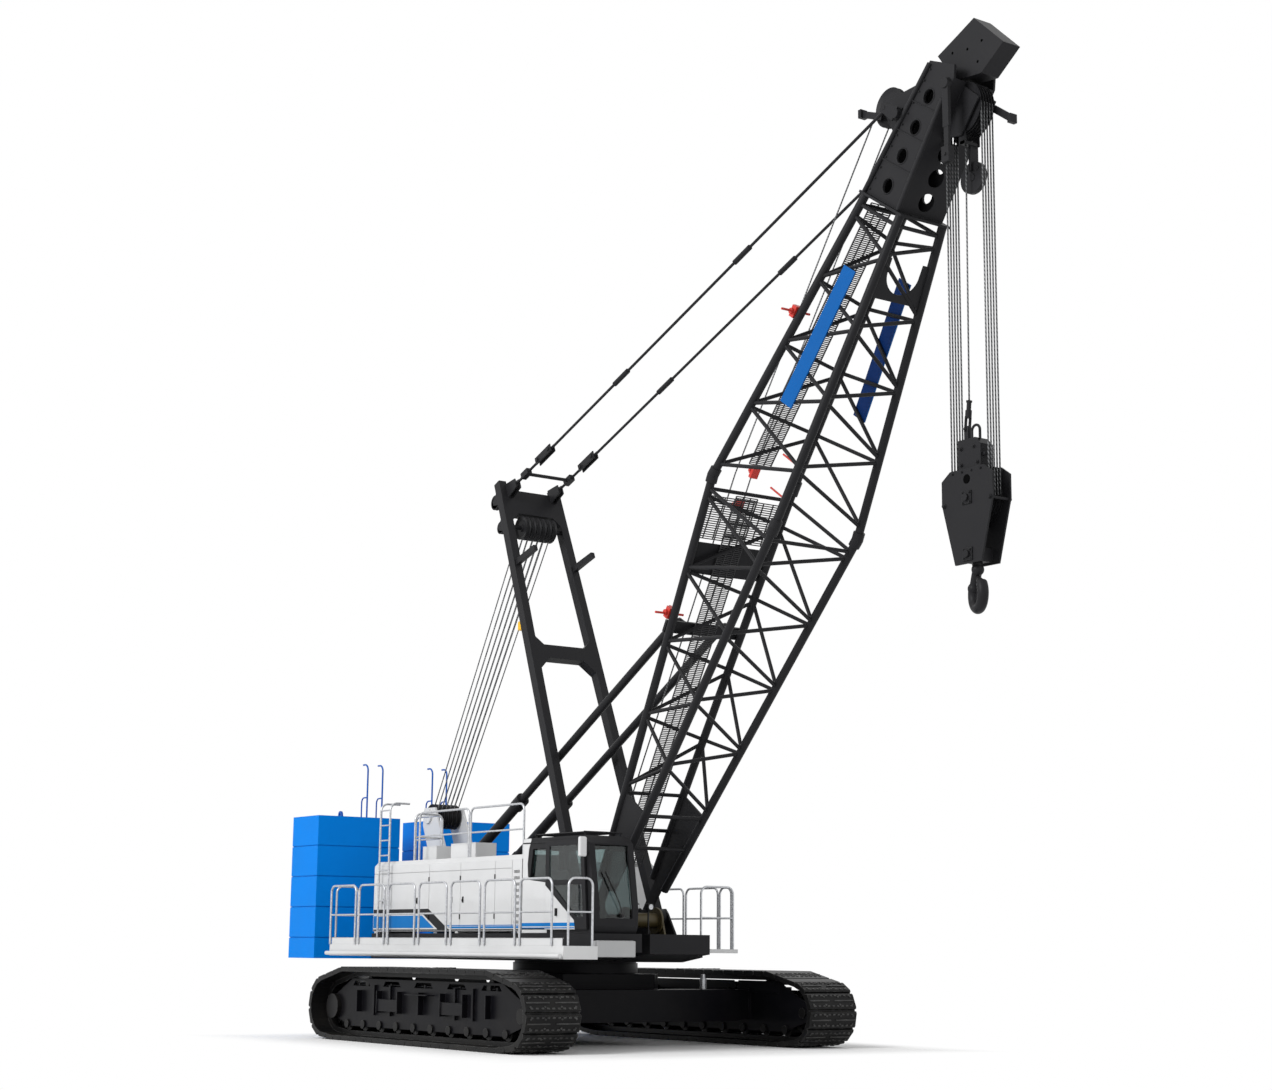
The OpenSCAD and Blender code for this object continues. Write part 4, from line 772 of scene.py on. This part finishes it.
def makeMastTrim(bm):
    m = mastTrim
    face, foot, tip = m["half"], m["cheekFoot"], m["cheekTip"]
    for s, radius in m["pulleys"]:
        y, top = -legAt(s), face + radius + m["cheekOver"]
        addWheel(bm, mastAt(s, y, face + radius), radius / 1000, m["pulleyHalf"])
        outline = ((s - foot, face - 5), (s - tip, top), (s + tip, top), (s + foot, face - 5))
        for side in (-1, 1):
            addPrism(bm, [mastAt(a, y + side * m["cheekOut"] - 6, n) for a, n in outline], across(0.012))
    for s in m["eyes"]:
        loop = ((s - 38, face - 4), (s - 30, face + 46), (s + 30, face + 46), (s + 38, face - 4))
        for side in (-1, 1):
            addTube(bm, [mastAt(a, side * legAt(s), n) for a, n in loop], m["eyeRadius"], 6)


def makeStayLinks(bm):
    k = stayLink
    ends = []
    for side in (-1, 1):
        low = mastAt(k["pin"][0], side * k["y"], k["pin"][1])
        ahead = (boomAt(k["stay"][0], side * k["y"], k["stay"][1]) - low).normalized()
        ends.append(low + ahead * k["cross"])
        near, far = (low + ahead * d for d in k["sleeve"])
        addBar(bm, near, far, 0.11, 0.12)
        near, far = (low + ahead * d for d in k["plate"])
        for out in (-k["plateOut"], k["plateOut"]):
            addBar(bm, near + across(out), far + across(out), 0.022, 0.15)
        for d in k["pins"]:
            spot = low + ahead * d
            addTube(bm, [spot - across(k["pinHalf"]), spot + across(k["pinHalf"])], 0.04, 12)
    addTube(bm, ends, 0.034, 12)


def makeMastLamp(bm):
    m = mastTrim
    spot, half = mastAt(m["lampS"], -legAt(m["lampS"]), m["half"] + m["lampOut"]), Vector(m["lampHalf"])
    addSoftBox(bm, spot - half, spot + half, 0.025)
    addTube(bm, [spot + Vector((0, 0, 0.05)), spot + Vector((0, 0, 0.125))], 0.04, 14)


makePiece("mastTrim", "charcoalPaint", "mast", makeMastTrim)
makePiece("stayLinks", "charcoalPaint", "mast", makeStayLinks)
makePiece("mastLamp", "yellowPaint", "mast", makeMastLamp)

# red clamps of the lifeline on the right chord and on the walkway; jaws are shift, width, height, half length
clamps = dict(chord=(5680, 11350), chordOver=118, knobOut=105, deck=((8385, 0), (7740, -100)), deckOver=62,
              jaws=((0, 0.17, 0.12, 0.10), (-75, 0.04, 0.19, 0.022), (75, 0.04, 0.19, 0.022)))


def makeClamps(bm):
    c = clamps
    for s in c["chord"]:
        half, deep = boomHalf(s)
        along = boomAt(s + 1000, -half, 0) - boomAt(s, -half, 0)
        for shift, wide, high, reach in c["jaws"]:
            middle = boomAt(s + shift, -half, deep + c["chordOver"])
            addBar(bm, middle - along * reach, middle + along * reach, wide, high)
        knob = boomAt(s, -half - c["knobOut"], deep + c["chordOver"])
        addTube(bm, [knob - across(0.03), knob + across(0.03)], 0.05, 14)
    for s, y in c["deck"]:
        deep = boomHalf(s)[1] + c["deckOver"]
        addBar(bm, boomAt(s - 110, y, deep + 30), boomAt(s + 110, y, deep + 30), 0.15, 0.07)
        addBar(bm, boomAt(s - 60, y, deep + 95), boomAt(s + 40, y, deep + 95), 0.09, 0.09)
        addTube(bm, [boomAt(s, y - 90, deep + 90), boomAt(s, y + 90, deep + 90)], 0.026, 10)


makePiece("lifelineClamps", "redPaint", "boom", makeClamps)

# boom head: hanging link, guard arms, and on both plates the rims of the holes, bolts, edge pipes and ribs
headTrim = dict(link=((15690, -370), (14640, -1125)), linkY=-482, armHalf=70,
                arms=(((15590, -840), (15575, -1330), 205), ((14760, 960), (14640, 1470), -345)),
                plateY=440, front=-430, rear=560, rearFall=335 / 2290, rimRadius=128, rim=0.012,
                holes=((300, 70), (820, 20), (1310, -20), (1830, -50)), bolts=(120, 2250, 190), boltFront=-335,
                boltIn=80, pipes=(((45, -400), (1900, -400)), ((45, 558), (2290, 216))), pipeOut=12, pipeRadius=0.042,
                ribs=(640, 1160, 1660), ribHalf=9, ribOut=0.018)


def headAt(s, y, n):
    return boomAt(boomForm["headS"] + s, y, n)


def headRear(s):
    return headTrim["rear"] - headTrim["rearFall"] * s


def makeHeadTrim(bm):
    h = headTrim
    (s0, n0), (s1, n1) = h["link"]
    top, low = boomAt(s0, h["linkY"], n0), boomAt(s1, h["linkY"], n1)
    drop, ahead = low - top, (low - top).normalized()
    addTube(bm, [top + across(0.045), top - across(0.05)], 0.085, 18)
    addBar(bm, top, top + drop * 0.55, 0.06, 0.13, (1, 0, 0))
    addBar(bm, top + drop * 0.5, low, 0.05, 0.10, (1, 0, 0))
    addBar(bm, low - ahead * 0.26, low, 0.12, 0.16, (1, 0, 0))
    pin = low - ahead * 0.13
    addTube(bm, [pin + across(0.08), pin - across(0.08)], 0.03, 12)
    for (s0, n0), (s1, n1), y in h["arms"]:
        addBar(bm, boomAt(s0, y, n0), boomAt(s1, y, n1), 0.05, 0.11)
        addBar(bm, boomAt(s1, y - h["armHalf"], n1), boomAt(s1, y + h["armHalf"], n1), 0.07, 0.14)
    for side in (-1, 1):
        y = side * h["plateY"]
        for s, n in h["holes"]:
            addTube(bm, [headAt(s + a, y, n + b) for a, b in arc(h["rimRadius"], 2 * math.pi, 24)], h["rim"], 6)
        for s in range(*h["bolts"]):
            for n in (h["boltFront"], headRear(s) - h["boltIn"]):
                addBolt(bm, headAt(s, y, n), side, 0.013, 0.022)
        for ends in h["pipes"]:  # chords carried on along both edges of the plate
            addTube(bm, [headAt(s, y + side * h["pipeOut"], n) for s, n in ends], h["pipeRadius"], 16)
        for s in h["ribs"]:
            back, fore, high = s - h["ribHalf"], s + h["ribHalf"], headRear(s)
            outline = ((back, h["front"]), (fore, h["front"]), (fore, high), (back, high))
            addPrism(bm, [headAt(a, y, n) for a, n in outline], across(side * h["ribOut"]))


makePiece("headTrim", "charcoalPaint", "boom", makeHeadTrim)

# hook block: bolted keeper plates, eyes filled with discs of painted shade, shackle and wedge socket for the end of the
# rope
# each row of bolts has its distance out, height, places, radius and length
blockTrim = dict(high=8845, out=195, plates=((8395, 74), (7535, 66)), plateHalf=100, plateThick=16, pinOut=60,
                 bolts=((195, 8335, (-490, 490), 0.026, 0.036), (195, 8800, (-300, -100, 100, 300), 0.014, 0.022),
                        (130, 8925, (-170, 170), 0.02, 0.035), (130, 9175, (-170, 100), 0.02, 0.035)),
                 plug=((240, -60, 9045), (300, -60, 9045)), top=9315, socket=-55, bow=85, eyeDown=165,
                 eyes=((0.072, 3), (0.060, 6)))


def blockAt(x, y, z):
    return Vector((jointAt["rope_plumb"].x + x / 1000, y / 1000, z / 1000))


def makeBlockTrim(bm):
    b = blockTrim
    half = b["plateHalf"]
    for side in (-1, 1):
        face = side * b["out"]
        plate = face + side * b["plateThick"]
        near, far = sorted((face, plate))
        for z, reach in b["plates"]:
            addBox(bm, blockAt(-half, near, z - half), blockAt(half, far, z + half))
            addTube(bm, [blockAt(0, face, z), blockAt(0, face + side * b["pinOut"], z)], 0.058, 20)
            for a in (-reach, reach):
                for c in (-reach, reach):
                    addBolt(bm, blockAt(a, plate, z + c), side, 0.015, 0.026)
        for out, z, places, radius, long in b["bolts"]:
            for x in places:
                addBolt(bm, blockAt(x, side * out, z), side, radius, long)
    addTube(bm, [blockAt(*p) for p in b["plug"]], 0.035, 8)


def makeShackle(bm):
    b = blockTrim

    def spot(x, out, up):
        return blockAt(x, b["socket"] + out, b["top"] + up)

    bow = [spot(75 + x, 0, 120 + z) for x, z in arc(b["bow"], math.pi, 12)]
    addTube(bm, [spot(75 + b["bow"], 0, -20), *bow, spot(75 - b["bow"], 0, -20)], 0.021, 10)
    addSoftBox(bm, spot(-160, -35, -20), spot(-60, 35, 220), 0.02)
    addTube(bm, [spot(-110, -60, 170), spot(-110, 60, 170)], 0.024, 12)
    for out in (-42, 42):
        addBar(bm, spot(-110, out, 130), spot(-85, out, 360), 0.012, 0.05, (0, 1, 0))
    neck, eye = spot(-85, 0, 340), spot(-60, 0, 580)
    addTube(bm, [neck, neck.lerp(eye, 0.5)], 0.05, 12)
    addTube(bm, [neck.lerp(eye, 0.45), eye], 0.036, 12)
    addTube(bm, [eye, spot(-56, 0, 610)], 0.046, 12)


def makeCheekHoles(bm):  # dark disc with a thin lip near the top of each cheek: painted shade that stands in for the hole
    b = blockTrim
    z = b["high"] - b["eyeDown"]
    for side in (-1, 1):
        face = side * b["out"]
        for radius, proud in b["eyes"]:
            addTube(bm, [blockAt(0, face - side * 4, z), blockAt(0, face + side * proud, z)], radius, 28)


makePiece("blockTrim", "charcoalPaint", "block", makeBlockTrim)
makePiece("cheekHoles", "paintedHoleShade", "block", makeCheekHoles)
makePiece("ropeSocket", "charcoalPaint", "block", makeShackle)

# guide plate that hangs between the falls under the head
guide = dict(drop=1090, radius=0.255, y=(40, 120), studs=((0, 0, 0.06), (120, 120, 0.03), (-120, 100, 0.03)),
             studOut=14, arm=560, strapY=(143.5, 152.5), strap=75)


def makeGuide(bm):
    g = guide
    centre = jointAt["rope_plumb"] - Vector((0, 0, g["drop"])) / 1000
    (low, high), (near, far) = g["y"], g["strapY"]
    half, foot, middle = g["strap"], g["arm"] - 60, (low + high) / 2

    def spot(x, y, z):
        return centre + Vector((x, y, z)) / 1000

    addTube(bm, [spot(0, low, 0), spot(0, high, 0)], g["radius"], 36)
    for x, z, radius in g["studs"]:
        addTube(bm, [spot(x, low - g["studOut"], z), spot(x, high + g["studOut"], z)], radius, 18)
    addBar(bm, spot(0, middle, 100), spot(0, middle, g["arm"]), 0.05, 0.16, (0, 1, 0))
    outline = [(-half, foot), (half, foot)] + [(x, g["drop"] + z) for x, z in arc(half, math.pi, 10)]
    for y in (-far, near):
        addPrism(bm, [spot(x, y, z) for x, z in outline], across((far - near) / 1000))
    addBar(bm, spot(0, -far, g["arm"] - 30), spot(0, far, g["arm"] - 30), 0.10, 0.05)


makePiece("fallGuide", "charcoalPaint", "rope_fall", makeGuide)

# deck front: step in front of the cab, work lamps and their posts
deckTrim = dict(step=((3521, -1985, 1560), (3648, -1195, 1830)), treads=9, treadStep=84,
                lamps=((2590, -470), (2590, -170)), lampZ=2420, deckZ=1951)


def makeStep(bm):
    low, high = deckTrim["step"]
    addSoftBox(bm, deckAt(*low), deckAt(*high), 0.02)
    for k in range(deckTrim["treads"]):
        y = low[1] + 60 + k * deckTrim["treadStep"]
        addBox(bm, deckAt(low[0] + 15, y, high[2]), deckAt(high[0] - 15, y + 12, high[2] + 6))


def makeLamps(bm):
    for x, y in deckTrim["lamps"]:
        z = deckTrim["lampZ"]
        addTube(bm, [deckAt(x - 40, y, deckTrim["deckZ"]), deckAt(x - 40, y, z)], 0.016, 8)
        addSoftBox(bm, deckAt(x - 50, y - 62, z - 55), deckAt(x + 40, y + 62, z + 65), 0.02)


def makeLampGlass(bm):
    for x, y in deckTrim["lamps"]:
        z = deckTrim["lampZ"] + 5
        addTube(bm, [deckAt(x + 36, y, z), deckAt(x + 45, y, z)], 0.046, 20)


makePiece("cabStep", "stepGrey", "upper", makeStep)
makePiece("workLamps", "blackPlastic", "upper", makeLamps)
makePiece("lampGlass", "galvanised", "upper", makeLampGlass)
print("small parts ready")

# navy sheets on both faces of the left board
board = dict(s=10000, long=2450, half=165, low=33.5, high=58, lift=0.5)


def makeBoard(bm):
    b = board
    long, half, y = b["long"], b["half"], boomHalf(b["s"])[0]
    turn = math.atan2(boomForm["joint"][0] - boomForm["head"][0], boomForm["headS"] - boomForm["jointS"])
    ahead, aside = math.cos(turn), math.sin(turn)

    def spot(along, out, n):
        return boomAt(b["s"] + along * ahead + out * aside, y - along * aside + out * ahead, n)

    outline = ((0, -half), (long, -half), (long, half), (0, half))
    for out in (b["low"] - b["lift"], b["high"]):
        addPrism(bm, [spot(a, out, n) for a, n in outline], spot(0, out + b["lift"], 0) - spot(0, out, 0))


makePiece("leftBoardSheet", "boardNavy", "boom", makeBoard)

# walkway edge: upright toe plate behind the posts, with its stiffeners
toePlate = dict(back=-4640, front=3590, y=-2640, low=1740, high=1866, thick=7, ribs=15)


def makeToePlate(bm):
    b = toePlate
    addBox(bm, deckAt(b["back"], b["y"], b["low"] - 2), deckAt(b["front"], b["y"] + b["thick"], b["high"]))
    addBox(bm, deckAt(b["back"], b["y"], b["high"] - b["thick"]), deckAt(b["front"], b["y"] + 34, b["high"]))
    for k in range(b["ribs"]):
        x = b["back"] + 40 + k * (b["front"] - b["back"] - 80) / (b["ribs"] - 1)
        addBox(bm, deckAt(x - 4, b["y"] + b["thick"] - 1, b["low"] - 2), deckAt(x + 4, b["y"] + 36, b["high"] - 2))


makePiece("toePlate", "whitePaint", "upper", makeToePlate)

# guards and pipes above both track frames, on their inner side
trackGuards = dict(spans=((-2700, -1270), (-1190, 260), (350, 1330), (1400, 2640)), y=2690, low=930, high=1150,
                   corner=40, thick=14, pipeEnds=(-2620, 2340), pipeY=3060, pipeStep=60, pipeZ=1010, pipeRadius=0.019,
                   clips=(-2500, 2400, 610), clipLow=948)


def makeTrackGuards(bm):
    g = trackGuards
    low, high, cut = g["low"], g["high"], g["corner"]
    for side in (-1, 1):
        near = min(side * g["y"], side * (g["y"] + g["thick"]))
        middle = side * (g["pipeY"] + g["pipeStep"] / 2)
        for x0, x1 in g["spans"]:
            outline = ((x0, low), (x1, low), (x1, high - cut), (x1 - cut, high), (x0 + cut, high), (x0, high - cut))
            addPrism(bm, [deckAt(x, near, z) for x, z in outline], across(g["thick"] / 1000))
        for shift in (0, g["pipeStep"]):
            ends = [deckAt(x, side * (g["pipeY"] + shift), g["pipeZ"]) for x in g["pipeEnds"]]
            addTube(bm, ends, g["pipeRadius"], 10)
        for x in range(*g["clips"]):
            addBox(bm, deckAt(x, middle - 60, g["clipLow"]), deckAt(x + 50, middle + 60, g["pipeZ"] + 30))


makePiece("trackGuards", "navyPaint", "lower", makeTrackGuards)

# bolts, wear bars and teeth on every track shoe, found on the solids
shoeFit = dict(topLong=(0.20, 0.30), loopZ=0.66, floorZ=0.02, boltOut=(0.16, 0.44), boltAlong=0.075, boltRadius=0.017,
               boltHigh=0.016, barIn=0.06, barLong=0.44, barSize=(0.022, 0.028), teeth=9, toothStep=0.105,
               toothOut=0.098, toothWide=0.046, toothSize=(0.026, 0.024))


def shoeTops(name):
    mesh = frame["nodes"][name].data
    low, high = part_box(name)
    middle = (low[1] + high[1]) / 2
    flats = {}
    for face in mesh.polygons:
        if abs(face.normal.y) > 0.01:
            continue
        spots = [mesh.vertices[i].co for i in face.vertices]
        wide = max(p.y for p in spots) - min(p.y for p in spots)
        if wide < (high[1] - low[1]) * 0.95:
            continue
        ends = [Vector((p.x, 0, p.z)) for p in spots]
        length = max((p - q).length for p in ends for q in ends)
        if not shoeFit["topLong"][0] < length < shoeFit["topLong"][1]:
            continue
        key = tuple(round(v, 2) for v in (face.normal.x, face.normal.z, face.normal.dot(ends[0])))
        flats.setdefault(key, [Vector(face.normal), []])[1].extend(ends)
    for normal, ends in flats.values():
        first = ends[0]
        last = max(ends, key=lambda p: (p - first).length)
        centre = (first + last) / 2
        yield Vector((centre.x, middle, centre.z)), normal, (last - first).normalized()


def makeShoeFit(name, bm):
    s = shoeFit
    inner, half = Vector((swingX, 0, s["loopZ"])), across(s["toothWide"] / 2)
    for centre, normal, along in shoeTops(name):
        if normal.dot(Vector((centre.x, 0, centre.z)) - inner) < 0 or centre.z < s["floorZ"]:
            continue  # inner side of the loop, or flat on the floor
        for side in (-1, 1):
            for y in s["boltOut"]:
                for a in (-1, 1):
                    spot = centre + across(side * y) + along * a * s["boltAlong"]
                    addTube(bm, [spot, spot + normal * s["boltHigh"]], s["boltRadius"], 6)
            start = centre + across(side * s["barIn"])
            addBar(bm, start, start + across(side * s["barLong"]), *s["barSize"], normal)
        for k in range(s["teeth"]):
            middle = centre + across((k - (s["teeth"] - 1) / 2) * s["toothStep"])
            for a in (-1, 1):
                spot = middle + along * a * s["toothOut"]
                addBar(bm, spot - half, spot + half, *s["toothSize"], normal)


for side in ("right", "left"):
    makePiece(f"shoeBolts{side.title()}", "shoeSteel", "lower",
              lambda bm: makeShoeFit(f"track_shoes_{side}", bm))
print("tracks dressed")

# studio: white backdrop, pale floor, one soft key and a weak fill
studio = dict(worldLight=0.62, aim=(1, 0, 5), floorColor=(0.93, 0.93, 0.93), floorHalf=160, floorZ=-0.002,
              lamps=(("keyLamp", (3, -30, 22), 14, 8200), ("fillLamp", (30, 8, 16), 16, 700)),
              shadowHalf=(4.5, 4.0), shadowFade=1.35)


def softLamp(name, place, size, power):
    data = bpy.data.lights.new(name, "AREA")
    data.shape = "SQUARE"
    data.size = size
    data.energy = power
    lamp = addObject(name, data)
    lamp.location = place
    lamp.rotation_euler = (Vector(studio["aim"]) - Vector(place)).to_track_quat("-Z", "Y").to_euler()


def seenDirectly(tree):
    path = put(tree, "ShaderNodeLightPath")
    seen = calc(tree, "MAXIMUM", path.outputs["Is Camera Ray"], path.outputs["Is Glossy Ray"])
    return calc(tree, "MAXIMUM", seen, path.outputs["Is Transmission Ray"])


def makeStudio():
    world = bpy.context.scene.world = bpy.data.worlds.new("studioWorld")
    world.use_nodes = True
    tree = world.node_tree
    tree.nodes.clear()
    strength = put(tree, "ShaderNodeMix", {0: seenDirectly(tree), 2: studio["worldLight"], 3: 1.0})
    sky = put(tree, "ShaderNodeBackground", {"Color": (1, 1, 1, 1), "Strength": strength.outputs[0]})
    put(tree, "ShaderNodeOutputWorld", {"Surface": sky.outputs[0]})
    for lamp in studio["lamps"]:
        softLamp(*lamp)


def makeFloor():
    half, z = studio["floorHalf"], studio["floorZ"]
    mesh = bpy.data.meshes.new("studioFloor")
    corners = [(-half, -half, z), (half, -half, z), (half, half, z), (-half, half, z)]
    mesh.from_pydata(corners, [], [(0, 1, 2, 3)])
    floor = addObject("studioFloor", mesh)
    tree, shader = newMaterial("floorPaint")
    fill(tree, shader.inputs, {"Base Color": rgba(studio["floorColor"]), "Roughness": 0.9})
    place = put(tree, "ShaderNodeSeparateXYZ", {"Vector": objectPlace(tree)})
    along = calc(tree, "ABSOLUTE", calc(tree, "SUBTRACT", place.outputs["X"], swingX))
    aside = calc(tree, "ABSOLUTE", place.outputs["Y"])
    far = calc(tree, "MAXIMUM", calc(tree, "DIVIDE", along, studio["shadowHalf"][0]),
               calc(tree, "DIVIDE", aside, studio["shadowHalf"][1]))
    fade = spread(tree, far, 1.0, studio["shadowFade"])
    white = put(tree, "ShaderNodeEmission", {"Color": (1, 1, 1, 1), "Strength": 1.0})
    share = calc(tree, "MULTIPLY", fade, seenDirectly(tree))
    blendOut = put(tree, "ShaderNodeMixShader", {0: share, 1: shader.outputs[0], 2: white.outputs[0]})
    tree.links.new(blendOut.outputs[0], tree.nodes["Material Output"].inputs["Surface"])
    mesh.materials.append(materials["floorPaint"])


makeStudio()
makeFloor()
bpy.context.scene.view_settings.view_transform = "Standard"
print("studio ready")
